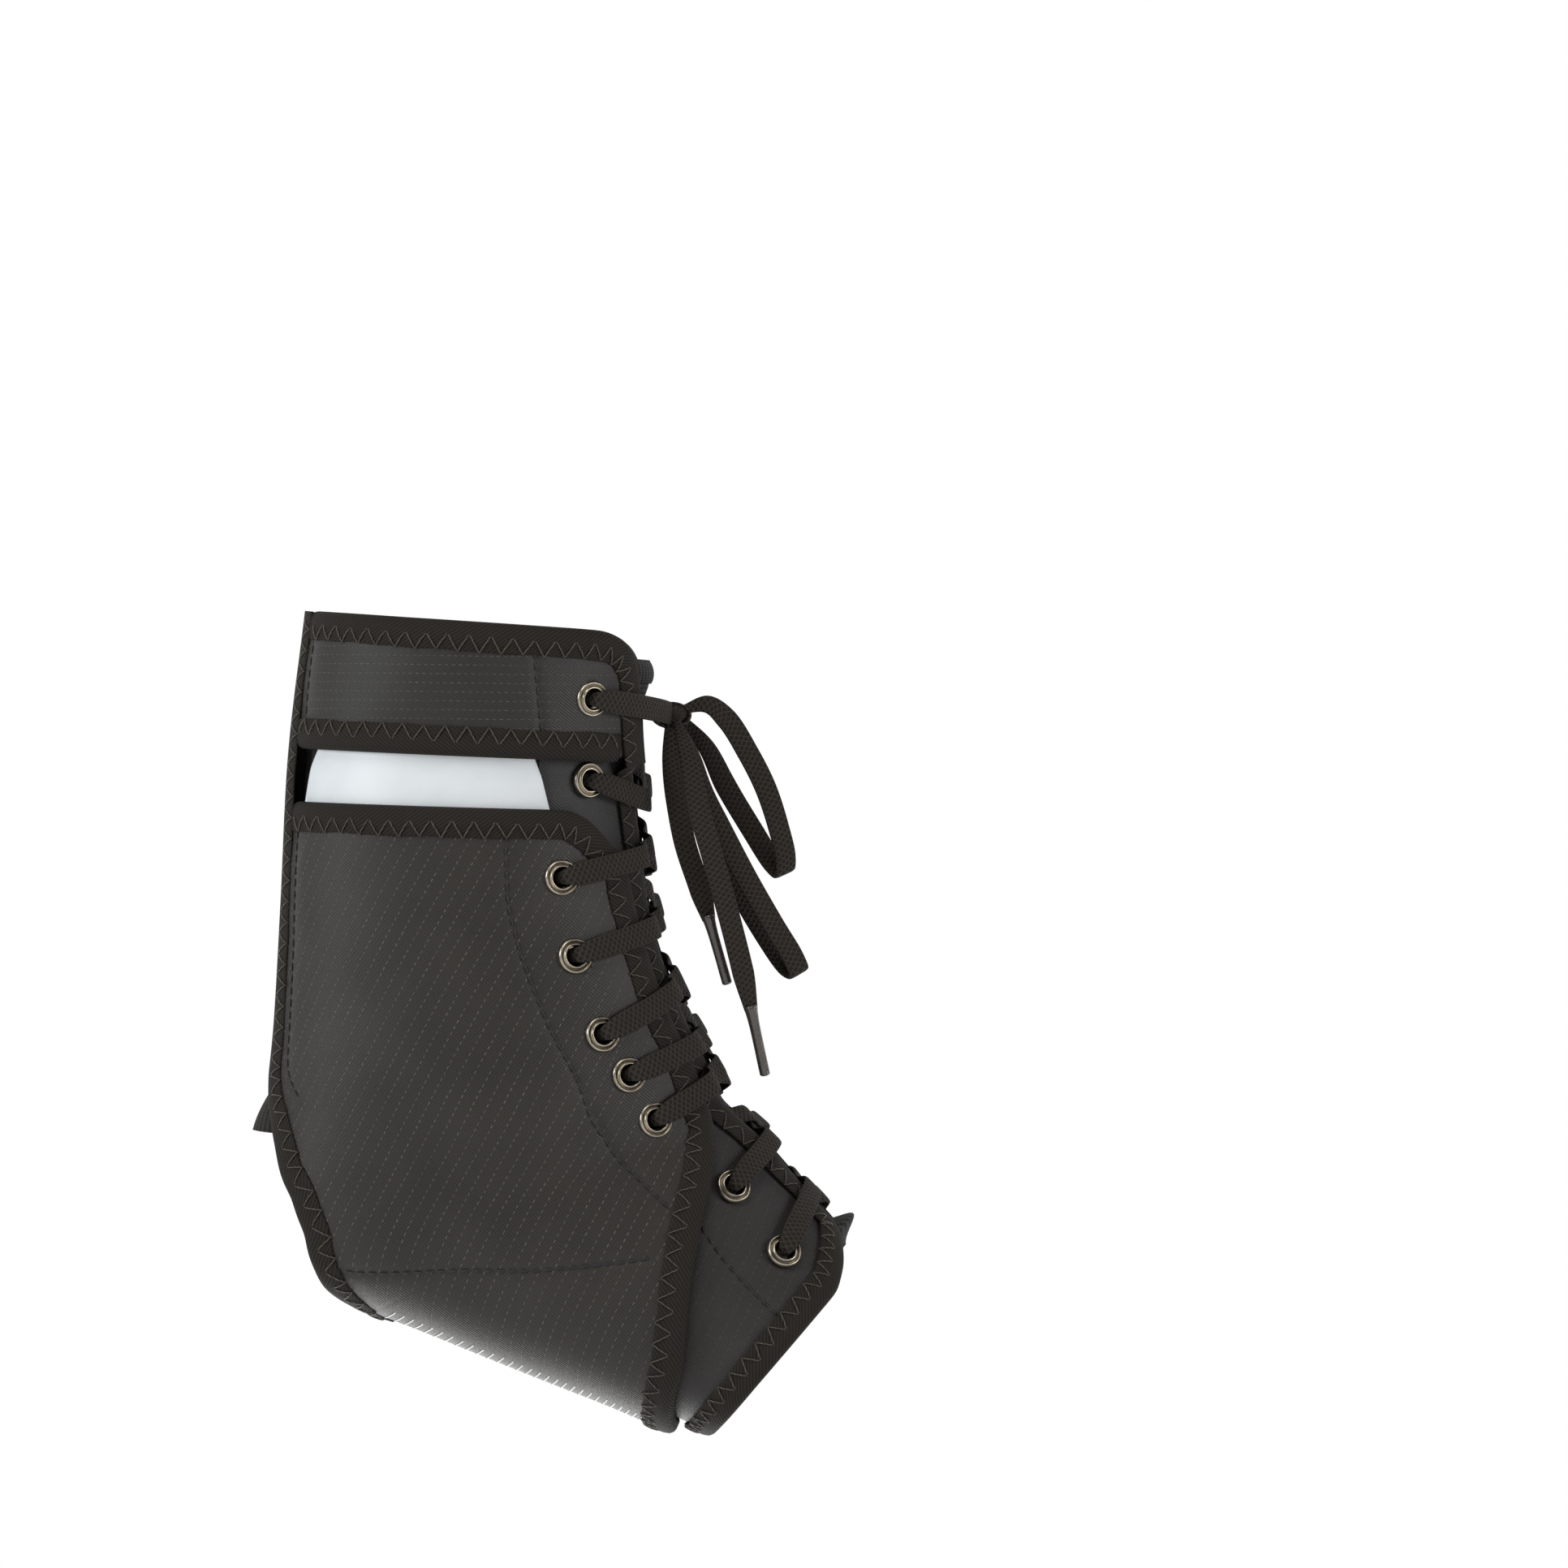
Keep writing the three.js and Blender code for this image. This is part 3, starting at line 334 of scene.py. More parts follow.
def at_knot(row):
    """A route's row moved along its direction from the knot's centre to just inside the knot."""
    away = row[:3] * BOW_SCALE
    share = 1 / np.linalg.norm(away / KNOT_RADII) - KNOT_DEPTH / np.linalg.norm(away)
    return np.concatenate([row[:3] * share, row[3:]])


def bow_strip(route, closed):
    """Centres, across and through directions, and widths along one piece of the bow. Across comes
    from each row's turn, and round a loop's tip it runs evenly from one leg to the other."""
    rows = np.array(route, dtype=float)
    rows[0] = at_knot(rows[0])
    if closed:
        rows[-1] = at_knot(rows[-1])
    rows[:, :3] = KNOT_CENTRE + rows[:, :3] * BOW_SCALE
    ahead = unit(np.gradient(rows[:, :3], axis=0))
    sideways = unit(np.array([0.0, 1.0, 0.0]) - ahead * ahead[:, 1:2])
    upright = np.cross(ahead, sideways)
    turn = np.radians(rows[:, 3:4])
    across = sideways * np.cos(turn) + upright * np.sin(turn)
    steady = np.abs(rows[:, 3]) > TIP_TURN
    place = np.arange(len(rows))
    across = np.stack([np.interp(place, place[steady], across[steady, k]) for k in range(3)], axis=1)
    path = smooth_path(np.column_stack([rows[:, :3], across, rows[:, 4]]), STEPS_PER_SPAN)
    centres, across = path[:, :3], unit(path[:, 3:6])
    through = unit(np.cross(unit(np.gradient(centres, axis=0)), across))
    return centres, across, through, LACE_WIDTH * np.minimum(path[:, 6], 1.0)


def make_bow_piece(name, route, closed):
    """One strip of the bow and its centre line."""
    centres, across, through, widths = bow_strip(BOW_ROUTES[route], closed)
    thickness = np.full(len(centres), LACE_THICKNESS)
    points, faces, uv, caps = strip_mesh(centres, across, through, widths, thickness, strip_section())
    piece = make_piece(name, points, faces, BRAID, uv, caps, [name])
    return piece, centres


def aglet_material():
    """Tight clear plastic film over the dark lace: glossy and nearly black, with faint rings."""
    material, tree, shader = new_material("aglet_film", (0.018, 0.016, 0.015), 0.16)
    shader.inputs["Coat Weight"].default_value = 0.6
    shader.inputs["Coat Roughness"].default_value = 0.06
    place = cloth_place(tree)
    streaks = noise(tree, place, 1.6)
    paint(tree, shader, streaks, (0.010, 0.008, 0.007), (0.085, 0.070, 0.060))
    emboss(tree, shader, calc(tree, "ADD", threads(tree, place, 90, 2.1), streaks), 0.00012)
    return material


AGLET_FILM = aglet_material()
AGLET_LENGTH = 17.0
AGLET_SIDES = 24
AGLET_FLATNESS = 0.86

# distance along the tip as a share of its length, radius in millimetres
AGLET_PROFILE = [
    (-0.09, 1.72), (-0.06, 1.95), (0.04, 1.78), (0.2, 1.58), (0.6, 1.5), (0.92, 1.5), (0.985, 1.4),
    (1.0, 1.0),
]


def make_aglet(name, route):
    """The film's radius along the tip, carried round the tip's own line as a slightly flat ring."""
    rows = np.array(BOW_ROUTES[route], dtype=float)[-2:, :3]
    before, last = KNOT_CENTRE + rows * BOW_SCALE
    ahead = unit(last - before)
    side = unit(np.cross(ahead, [0.0, 0.0, 1.0]))
    other = np.cross(ahead, side)
    profile = smooth_path([(0.0, 0.0, share * AGLET_LENGTH, radius) for share, radius in AGLET_PROFILE], 6)
    angle = 2 * np.pi * np.arange(AGLET_SIDES) / AGLET_SIDES
    ring = np.cos(angle)[:, None] * side + AGLET_FLATNESS * np.sin(angle)[:, None] * other
    centres = last + (0.35 + profile[:, 2:3]) * ahead
    points = centres[:, None, :] + profile[:, 3][:, None, None] * ring[None]
    faces, corners = grid_faces(len(profile), AGLET_SIDES, True)
    uv = np.stack([profile[corners[..., 0], 2], corners[..., 1] * 0.42], axis=-1)
    caps = end_caps(len(profile), AGLET_SIDES)
    return make_piece(name, points.reshape(-1, 3), faces, AGLET_FILM, uv, caps, [name])


aglet_short = make_aglet("aglet_short", "short")
aglet_long = make_aglet("aglet_long", "long")

for name, route, closed, tip in (
        ("lace_loop_upper", "upper", True, None), ("lace_loop_lower", "lower", True, None),
        ("lace_end_short", "short", False, aglet_short), ("lace_end_long", "long", False, aglet_long)):
    piece, centres = make_bow_piece(name, route, closed)

# The knot
# The turns of lace at the middle of the bow: a tight core and one flat turn of lace drawn over it.
# It is sewn nowhere and only the lace holds it.
KNOT_RINGS = 25
KNOT_SIDES = 36
TURN_WIDTH = 4.4
TURN_THICKNESS = 0.9
TURN_STEPS = 61


def join_parts(parts):
    """Points, faces, flat places and end caps of several parts as those of one mesh."""
    points, faces, uvs, caps, shift = [], [], [], [], 0
    for part_points, part_faces, part_uv, part_caps in parts:
        points.append(part_points)
        faces.append(part_faces + shift)
        uvs.append(part_uv)
        caps += [[k + shift for k in cap] for cap in part_caps]
        shift += len(part_points)
    return np.vstack(points), np.vstack(faces), np.concatenate(uvs), caps


def make_knot():
    """A core with two creases, whose radius is the knot's outline less a furrow at each crease, and
    a flat turn of lace that goes once round it."""
    polar = np.radians(np.linspace(4, 176, KNOT_RINGS))
    around = 2 * np.pi * np.arange(KNOT_SIDES) / KNOT_SIDES
    p, q = np.meshgrid(polar, around, indexing="ij")
    way = np.stack([np.sin(p) * np.cos(q), np.cos(p), np.sin(p) * np.sin(q)], axis=-1)
    furrow = 1 - 0.13 * np.exp(-((np.abs(way[..., 1]) - 0.52) / 0.12) ** 2)
    core = KNOT_CENTRE + way * (KNOT_RADII - 0.4) * furrow[..., None]
    faces, corners = grid_faces(KNOT_RINGS, KNOT_SIDES, True)
    uv = np.stack([corners[..., 0] * 0.45, corners[..., 1] * 0.8], axis=-1)
    angle = np.linspace(0, 2 * np.pi, TURN_STEPS)
    through = np.stack([np.cos(angle), np.zeros(TURN_STEPS), np.sin(angle)], axis=1)
    centres = KNOT_CENTRE + through * (KNOT_RADII * [1, 0, 1] - [0.35, 0, 0.35])
    centres[:, 1] += 0.7 * np.sin(angle)
    across = np.tile([0.0, 1.0, 0.0], (TURN_STEPS, 1))
    turn = strip_mesh(centres, across, through, np.full(TURN_STEPS, TURN_WIDTH),
                      np.full(TURN_STEPS, TURN_THICKNESS), strip_section())
    parts = [(core.reshape(-1, 3), faces, uv, end_caps(KNOT_RINGS, KNOT_SIDES)), turn]
    points, faces, uv, caps = join_parts(parts)
    return make_piece("knot", points, faces, BRAID, uv, caps, ["lace_knot"])


make_knot()

# Top shell cloth
# Two mirrored halves of satin woven cloth with eyelets along the front. This section also makes the
# form: the brace's inner surface, from which every other piece takes its place.
FORM_SIZE = {"height": 217.0, "depth": 160.0, "half_width": 36.5}
FRONT_INSET = 2.2
BACK_INSET = 6.5

# front x and z, back x and z as shares of the depth and height, half width as a share, place of the
# widest point, and how full the front and the back of the outline are
SECTIONS = np.array([
    (0.323, 0.524, -0.242, 0.553, 0.97, 0.50, 2.0, 2.0),
    (0.310, 0.369, -0.269, 0.387, 0.94, 0.50, 2.0, 2.0),
    (0.328, 0.207, -0.282, 0.207, 0.92, 0.50, 2.0, 2.0),
    (0.378, 0.092, -0.295, 0.065, 0.94, 0.50, 2.0, 1.9),
    (0.425, 0.024, -0.310, -0.027, 0.93, 0.50, 2.0, 1.9),
    (0.451, -0.016, -0.335, -0.145, 0.88, 0.48, 2.0, 2.0),
    (0.479, -0.036, -0.276, -0.239, 0.86, 0.50, 2.0, 2.2),
    (0.512, -0.063, -0.113, -0.284, 0.88, 0.54, 2.0, 2.3),
    (0.553, -0.105, 0.106, -0.348, 0.92, 0.57, 2.0, 2.4),
    (0.606, -0.157, 0.287, -0.401, 0.96, 0.60, 2.1, 2.5),
    (0.669, -0.208, 0.412, -0.442, 1.00, 0.60, 2.2, 2.5),
])


def section_rows(along):
    """The sections' numbers at any share along, by a smooth cubic through the table's rows."""
    last = len(SECTIONS) - 1
    i = np.clip(np.floor(along * last).astype(int), 0, last - 1)
    t = (along * last - i)[:, None]
    rows = np.vstack([2 * SECTIONS[0] - SECTIONS[1], SECTIONS, 2 * SECTIONS[-1] - SECTIONS[-2]])
    a, b, c, d = (rows[i + k] for k in range(4))
    square, cube = 2 * a - 5 * b + 4 * c - d, 3 * b - a - 3 * c + d
    return 0.5 * (2 * b + (c - a) * t + square * t**2 + cube * t**3)


def inset_sections(along):
    """The same with both ends moved in from the outline, square to it."""
    rows = section_rows(along)
    slope = section_rows(along + 0.01) - section_rows(along - 0.01)
    for x, z, inset in ((0, 1, FRONT_INSET), (2, 3, -BACK_INSET)):
        run = slope[:, [x, z]] * (FORM_SIZE["depth"], FORM_SIZE["height"])
        length = np.linalg.norm(run, axis=1)
        rows[:, x] += inset * run[:, 1] / length / FORM_SIZE["depth"]
        rows[:, z] -= inset * run[:, 0] / length / FORM_SIZE["height"]
    return rows


class Form:
    """The far half of the brace's inner surface, as a fine grid over two shares: along, from the top
    section to the last, and around, from the front line (0) to the back line or sole (1)."""

    def __init__(self):
        self.along = np.linspace(-0.03, 1.03, 531)
        self.around = np.linspace(-0.4, 1.4, 451)
        turn = np.linspace(0, np.pi, 181)
        rows = inset_sections(self.along)
        places, flats, girths = [], [], []
        for row in rows:
            places_row, flat_row, girth = self.outline(row, turn)
            places.append(places_row)
            flats.append(flat_row)
            girths.append(girth)
        self.places = np.array(places)
        self.flats = np.array(flats)
        self.girths = np.array(girths)
        self.down = np.gradient(self.places, self.along, axis=0)
        self.round = np.gradient(self.places, self.around, axis=1)
        self.normals = unit(np.cross(self.down, self.round))

    def outline(self, row, turn):
        """One section's points at even shares of its length, and their places on the flat cloth."""
        cosine = np.cos(turn)
        power = np.where(cosine >= 0, row[6], row[7])
        reach = np.abs(cosine) ** (2 / power)
        share = np.where(cosine >= 0, row[5] * (1 - reach), row[5] + (1 - row[5]) * reach)
        front = np.array([row[0] * FORM_SIZE["depth"], row[1] * FORM_SIZE["height"]])
        back = np.array([row[2] * FORM_SIZE["depth"], row[3] * FORM_SIZE["height"]])
        middle = front + share[:, None] * (back - front)
        width = FORM_SIZE["half_width"] * row[4] * np.abs(np.sin(turn)) ** (2 / power)
        points = np.stack([middle[:, 0], width, middle[:, 1]], axis=1)
        length = arc_lengths(points)
        wanted = 1 - np.abs(1 - np.abs(self.around))
        flip = np.where((self.around < 0) | (self.around > 1), -1.0, 1.0)
        even = np.stack([np.interp(wanted * length[-1], length, points[:, k]) for k in range(3)], axis=1)
        even[:, 1] *= flip
        side_arc = np.interp(np.pi / 2, turn, length)
        side = np.array([np.interp(side_arc, length, middle[:, k]) for k in range(2)])
        flat = side + (self.around * length[-1] - side_arc)[:, None] * unit(back - front)
        return even, flat, length[-1]

    def read(self, grid, along, around):
        """A grid's value between its points."""
        i = (np.asarray(along) - self.along[0]) / (self.along[1] - self.along[0])
        j = (np.asarray(around) - self.around[0]) / (self.around[1] - self.around[0])
        i0 = np.clip(np.floor(i).astype(int), 0, len(self.along) - 2)
        j0 = np.clip(np.floor(j).astype(int), 0, len(self.around) - 2)
        u, v = (i - i0)[..., None], (j - j0)[..., None]
        upper = grid[i0, j0] * (1 - v) + grid[i0, j0 + 1] * v
        lower = grid[i0 + 1, j0] * (1 - v) + grid[i0 + 1, j0 + 1] * v
        return upper * (1 - u) + lower * u

    def on(self, along, around, lift, side=1):
        """Points at a height over the form, in millimetres. side is 1 for far and -1 for near."""
        lift = np.asarray(lift, dtype=float)[..., None]
        points = self.read(self.places, along, around) + lift * unit(self.read(self.normals, along, around))
        return points * (1.0, side, 1.0)

    def normal(self, along, around, side=1):
        return unit(self.read(self.normals, along, around)) * (1.0, side, 1.0)

    def girth(self, along):
        return np.interp(along, self.along, self.girths)


FORM = Form()
SHELL = 2.0
OVERLAY_LIFT = 4.4
OVERLAY_TOP = 5.7
FRONT_HALF_GAP = 9.5
BACK_HALF_GAP = 5.0
SEAM_HALF_GAP = 0.2
HOLE_RADIUS = 3.75
SIDES = (("near", -1), ("far", 1))

# along, around
BASE_FRONT = np.array([
    (0.000, 0.255), (0.004, 0.215), (0.015, 0.180), (0.032, 0.160), (0.065, 0.145), (0.110, 0.120),
    (0.160, 0.100), (0.310, 0.090), (0.600, 0.084), (0.920, 0.088), (0.938, 0.115), (0.955, 0.165),
    (0.972, 0.215), (0.990, 0.290),
])
HEEL_EDGE = np.array([
    (0.360, 0.965), (0.400, 0.945), (0.446, 0.897), (0.500, 0.856), (0.556, 0.846), (0.610, 0.868),
    (0.650, 0.908), (0.675, 0.945), (0.690, 1.000),
])
OVERLAY_FRONT = np.array([
    (0.1335, 0.300), (0.141, 0.262), (0.151, 0.235), (0.161, 0.205), (0.172, 0.186), (0.210, 0.174),
    (0.290, 0.166), (0.367, 0.156), (0.455, 0.142), (0.530, 0.142), (0.612, 0.158), (0.690, 0.208),
    (0.745, 0.280), (0.803, 0.400), (0.839, 0.485), (0.874, 0.573), (0.903, 0.650), (0.925, 0.760),
    (0.938, 0.860), (0.944, 0.950),
])
EYELETS = np.array([
    (0.048, 0.273), (0.109, 0.249), (0.177, 0.328), (0.243, 0.319), (0.332, 0.300), (0.402, 0.271),
    (0.511, 0.234), (0.766, 0.234), (0.894, 0.294),
])
EYELET_IN_OVERLAY = np.array([True, False, True, True, True, True, True, False, False])
BAND_END = 0.0915
OVERLAY_START = 0.1335
OVERLAY_END = 0.944
FOREFOOT_END = 0.990


def base_front(along):
    return np.maximum(FRONT_HALF_GAP / FORM.girth(along), np.interp(along, *BASE_FRONT.T))


def base_back(along):
    straight = 1 - BACK_HALF_GAP / FORM.girth(along)
    heel = np.where(along > HEEL_EDGE[0, 0], np.interp(along, *HEEL_EDGE.T), 1.0)
    seam = 1 - SEAM_HALF_GAP / FORM.girth(along)
    return np.where(along >= HEEL_EDGE[-1, 0], seam, np.minimum(straight, heel))


def overlay_front(along):
    return np.interp(along, *OVERLAY_FRONT.T)


def spread_rows(stops, spacing):
    """Rows from the first stop to the last, with every stop among them, spacing apart or closer."""
    rows = []
    for a, b in zip(stops, stops[1:]):
        count = max(2, int(np.ceil((b - a) / spacing)) + 1)
        rows.append(np.linspace(a, b, count)[:-1])
    return np.append(np.concatenate(rows), stops[-1])


def ripple(along, around, size):
    """Gentle unevenness of worn cloth in millimetres: a sum of four waves in different directions."""
    flat = FORM.read(FORM.flats, along, around)
    x, z = flat[..., 0], flat[..., 1]
    waves = (np.sin(x / 7.3 + 1.3 * np.sin(z / 19.0)) + np.sin(z / 9.1 + 1.1 * np.sin(x / 23.0) + 2.0)
             + 0.6 * np.sin((x + z) / 5.2 + 0.7) + 0.5 * np.sin((x - 1.4 * z) / 6.4))
    return size * waves / 3.1


def path_distance(along, around, lines):
    """Distance in millimetres on the flat cloth from each point to the nearest of some lines."""
    flat = FORM.read(FORM.flats, along, around)
    nearest = np.full(flat.shape[:-1], 1e3)
    for line in lines:
        ends = FORM.read(FORM.flats, line[:, 0], line[:, 1])
        for a, b in zip(ends, ends[1:]):
            share = np.clip(((flat - a) @ (b - a)) / max((b - a) @ (b - a), 1e-9), 0, 1)
            nearest = np.minimum(nearest, np.linalg.norm(flat - a - share[..., None] * (b - a), axis=-1))
    return nearest


def hole_edges(faces, count):
    """Ends of the edges round patches of left-out faces: those that no two of the faces share."""
    a, b = faces.ravel(), np.roll(faces, -1, axis=1).ravel()
    border = ~np.isin(b * count + a, a * count + b)
    return a[border], b[border]


def make_cloth(name, rows, columns, edges, heights, side, material, holes=(), replaces=()):
    """A closed panel of cloth: rows down the form and columns from its front to its back edge. edges
    are the two edge functions of along, and heights the functions of (along, around) that give its
    inner and outer face's height. A hole is cut through it under each eyelet's flange."""
    along = np.repeat(rows[:, None], columns, axis=1)
    share = np.linspace(0, 1, columns)[None]
    around = edges[0](rows)[:, None] * (1 - share) + edges[1](rows)[:, None] * share
    inner, outer = (FORM.on(along, around, height(along, around), side) for height in heights)
    n = len(rows)
    faces, corners = grid_faces(n, columns, False)
    flat = FORM.read(FORM.flats, along, around)
    uv = flat[corners[..., 0], corners[..., 1]]
    centre = outer.reshape(-1, 3)[faces].mean(axis=1)
    keep = np.ones(len(faces), dtype=bool)
    for hole in holes:
        keep &= np.linalg.norm(centre - FORM.on(*hole, OVERLAY_TOP, side), axis=1) > HOLE_RADIUS
        keep &= np.linalg.norm(centre - FORM.on(*hole, SHELL, side), axis=1) > HOLE_RADIUS
    back = faces[keep][:, ::-1] + n * columns
    front = faces[keep]
    border = np.concatenate([
        np.arange(columns), np.arange(1, n) * columns + columns - 1,
        (n - 1) * columns + np.arange(columns - 2, -1, -1), np.arange(n - 2, 0, -1) * columns])
    following = np.roll(border, -1)
    rim = np.stack([following, border, border + n * columns, following + n * columns], axis=1)
    flat_places = flat.reshape(-1, 2)
    rim_uv = np.stack([flat_places[following], flat_places[border],
                       flat_places[border], flat_places[following]], axis=1)
    a, b = hole_edges(faces[~keep], n * columns)
    walls = np.stack([a, b, b + n * columns, a + n * columns], axis=1)
    wall_uv = np.stack([flat_places[a], flat_places[b], flat_places[b], flat_places[a]], axis=1)
    points = np.vstack([outer.reshape(-1, 3), inner.reshape(-1, 3)])
    all_uv = np.concatenate([uv[keep], uv[keep][:, ::-1], rim_uv, wall_uv])
    all_faces = np.vstack([front, back, rim, walls])
    return make_piece(name, points, all_faces, material, all_uv, (), replaces)


def pin_dashes_group():
    """Thin pale dashes in rows on flat cloth: rows at an angle, spacing, width and dash in mm, each
    row started at its own place."""
    group, given, result = new_group(
        "pin dashes",
        [("Place", "NodeSocketVector", None), ("Angle", "NodeSocketFloat", 0.0),
         ("Spacing", "NodeSocketFloat", 3.0), ("Width", "NodeSocketFloat", 0.2),
         ("Dash", "NodeSocketFloat", 2.0)],
        [("Mask", "NodeSocketFloat")])
    split = turned_place(group, given)
    phase = calc(group, "DIVIDE", split.outputs["X"], given.outputs["Spacing"])
    row = calc(group, "FLOOR", phase)
    off_centre = calc(group, "ABSOLUTE", calc(group, "SUBTRACT", calc(group, "FRACT", phase), 0.5))
    distance = calc(group, "MULTIPLY", off_centre, given.outputs["Spacing"])
    line = group.nodes.new("ShaderNodeMapRange")
    line.interpolation_type = "SMOOTHSTEP"
    group.links.new(distance, line.inputs["Value"])
    group.links.new(given.outputs["Width"], line.inputs["From Min"])
    line.inputs["From Max"].default_value = 0.0
    start = group.nodes.new("ShaderNodeTexWhiteNoise")
    start.noise_dimensions = "1D"
    group.links.new(row, start.inputs["W"])
    step = calc(group, "DIVIDE", split.outputs["Y"], given.outputs["Dash"])
    where = calc(group, "FRACT", calc(group, "MULTIPLY_ADD", start.outputs["Value"], 7.0, step))
    dash = group.nodes.new("ShaderNodeMapRange")
    dash.interpolation_type = "SMOOTHSTEP"
    group.links.new(calc(group, "ABSOLUTE", calc(group, "SUBTRACT", where, 0.5)), dash.inputs["Value"])
    dash.inputs["From Min"].default_value = 0.30
    dash.inputs["From Max"].default_value = 0.16
    mask = calc(group, "MULTIPLY", line.outputs["Result"], dash.outputs["Result"])
    group.links.new(mask, result.inputs["Mask"])
    return group


PIN_DASHES = pin_dashes_group()


def dashes(tree, place, degrees, spacing, width, dash):
    values = {"Angle": np.radians(degrees), "Spacing": spacing, "Width": width, "Dash": dash}
    return place_group(tree, PIN_DASHES, place, values).outputs["Mask"]


def woven_material(name, dark, light, pale, twill, pins, roughness, sheen):
    """Fine twill with rows of pale pin dashes, its tone slightly uneven over the panel. twill is
    (angle, spacing), pins (angle, spacing, width, dash, strength)."""
    material, tree, shader = new_material(name, dark, roughness, sheen, specular=0.26)
    place = cloth_place(tree)
    ribs = threads(tree, place, *twill)
    cross = threads(tree, place, twill[0] + 90, twill[1] * 1.3)
    weave = calc(tree, "MULTIPLY_ADD", cross, 0.3, ribs)
    broad = noise(tree, place, 0.05, 2.0)
    fine = noise(tree, place, 1.8, 2.0)
    tone = calc(tree, "MULTIPLY_ADD", weave, 0.35, calc(tree, "MULTIPLY_ADD", broad, 0.6, -0.05))
    tone = calc(tree, "MULTIPLY_ADD", fine, 0.25, calc(tree, "SUBTRACT", tone, 0.12))
    cloth = shade(tree, tone, dark, light)
    mask = dashes(tree, place, *pins[:4])
    patch = calc(tree, "MULTIPLY", noise(tree, place, 0.09, 2.0), noise(tree, place, 0.35, 2.0))
    amount = calc(tree, "MULTIPLY", mask, calc(tree, "MULTIPLY", patch, pins[4]))
    tree.links.new(shade(tree, amount, cloth, pale), shader.inputs["Base Color"])
    emboss(tree, shader, calc(tree, "MULTIPLY_ADD", mask, 0.8, weave), 0.00006)
    return material


SATIN = woven_material("shell_cloth",
                       (0.0135, 0.0125, 0.0120), (0.044, 0.0405, 0.0395), (0.15, 0.145, 0.135),
                       (-50, 0.62), (27, 3.2, 0.11, 1.8, 0.8), 0.50, 0.04)

# lines of stitches, along and around
WING_LINE = np.array([
    (0.789, 0.355), (0.841, 0.390), (0.881, 0.409), (0.920, 0.423), (0.956, 0.434), (0.972, 0.436),
])
SLOT_LINE = np.array([(0.094, 0.362), (0.112, 0.352), (0.131, 0.342)])


def base_top(along, around):
    """The shell's outer face: ripples where it shows, and a groove along its stitch lines."""
    groove = np.exp(-(path_distance(along, around, [WING_LINE, SLOT_LINE]) / 0.8) ** 2)
    showing = np.clip((along - 0.6) / 0.1, 0, 1)
    return SHELL + ripple(along, around, 0.22) * showing - 0.3 * groove


def flat_height(height):
    return lambda along, around: np.full(np.shape(along), height)


BASE_ROWS = spread_rows([0.0, 0.004, 0.015, 0.032, 0.09, 0.36, 0.69, 0.92, 0.955, FOREFOOT_END], 0.0055)

for label, side in SIDES:
    shell = make_cloth(f"base_shell_{label}", BASE_ROWS, 96, (base_front, base_back),
                       (flat_height(0.0), base_top), side, SATIN, EYELETS,
                       [f"base_shell_{label}"])

# Top band and pocket panel
# The outer layer of twill: a strip round the top, and below the slot a panel that runs under the
# sole. Both are sewn to the shell along their bound edges, and swell a little over the stay.
TWILL = woven_material("overlay_cloth",
                       (0.0130, 0.0113, 0.0096), (0.041, 0.0365, 0.0315), (0.23, 0.21, 0.165),
                       (-50, 0.64), (27, 3.15, 0.12, 1.7, 2.0), 0.48, 0.04)
BAND_TWILL = woven_material("band_cloth",
                            (0.0125, 0.0112, 0.0102), (0.039, 0.0360, 0.0335), (0.19, 0.18, 0.15),
                            (-50, 0.64), (90, 2.3, 0.11, 1.6, 1.8), 0.48, 0.04)
PANEL_LENGTH = 350
SWELL_REACH = 12

POCKET_LINE = np.array([(0.146, 0.433), (0.195, 0.434), (0.244, 0.418), (0.306, 0.394), (0.411, 0.356),
                        (0.521, 0.322), (0.620, 0.325), (0.687, 0.349), (0.754, 0.372)])
BOTTOM_LINE = np.array([(0.624, 0.830), (0.676, 0.744), (0.733, 0.636), (0.757, 0.574), (0.793, 0.475)])
BAND_LINE = np.array([(0.013, 0.400), (0.043, 0.385), (0.073, 0.369), (0.091, 0.364)])


def rear_line(start, end):
    """The row of stitches just inside the rear tape, which swings away from it at the heel opening."""
    along = np.linspace(start, end, 24)
    swing = 4.0 * np.clip((along - 0.33) / 0.07, 0, 1) ** 2
    return np.stack([along, base_back(along) - (8.4 + swing) / FORM.girth(along)], axis=1)


BAND_REAR_LINE = rear_line(0.02, 0.09)
POCKET_REAR_LINE = rear_line(0.14, 0.40)


def overlay_bottom(along, around):
    return np.full(np.shape(along), OVERLAY_LIFT - 1.7)


def overlay_height(lines, start, end, front):
    """The outer face: a swelling inside the bound edges, ripples, and furrows at the stitch lines."""
    def height(along, around):
        distance = path_distance(along, around, lines)
        from_top = np.clip((along - start) * PANEL_LENGTH / SWELL_REACH, 0, 1)
        from_top = from_top * np.clip((end - along) * PANEL_LENGTH / SWELL_REACH, 0, 1)
        girth = FORM.girth(along)
        from_side = np.clip((around - front(along)) * girth / SWELL_REACH, 0, 1)
        from_side = from_side * np.clip((base_back(along) - around) * girth / SWELL_REACH, 0, 1)
        swell = 0.9 * np.sqrt(from_top * from_side)
        furrow = np.exp(-(distance / 0.9) ** 2)
        return OVERLAY_TOP + swell + ripple(along, around, 0.25) * from_side - 0.4 * furrow
    return height


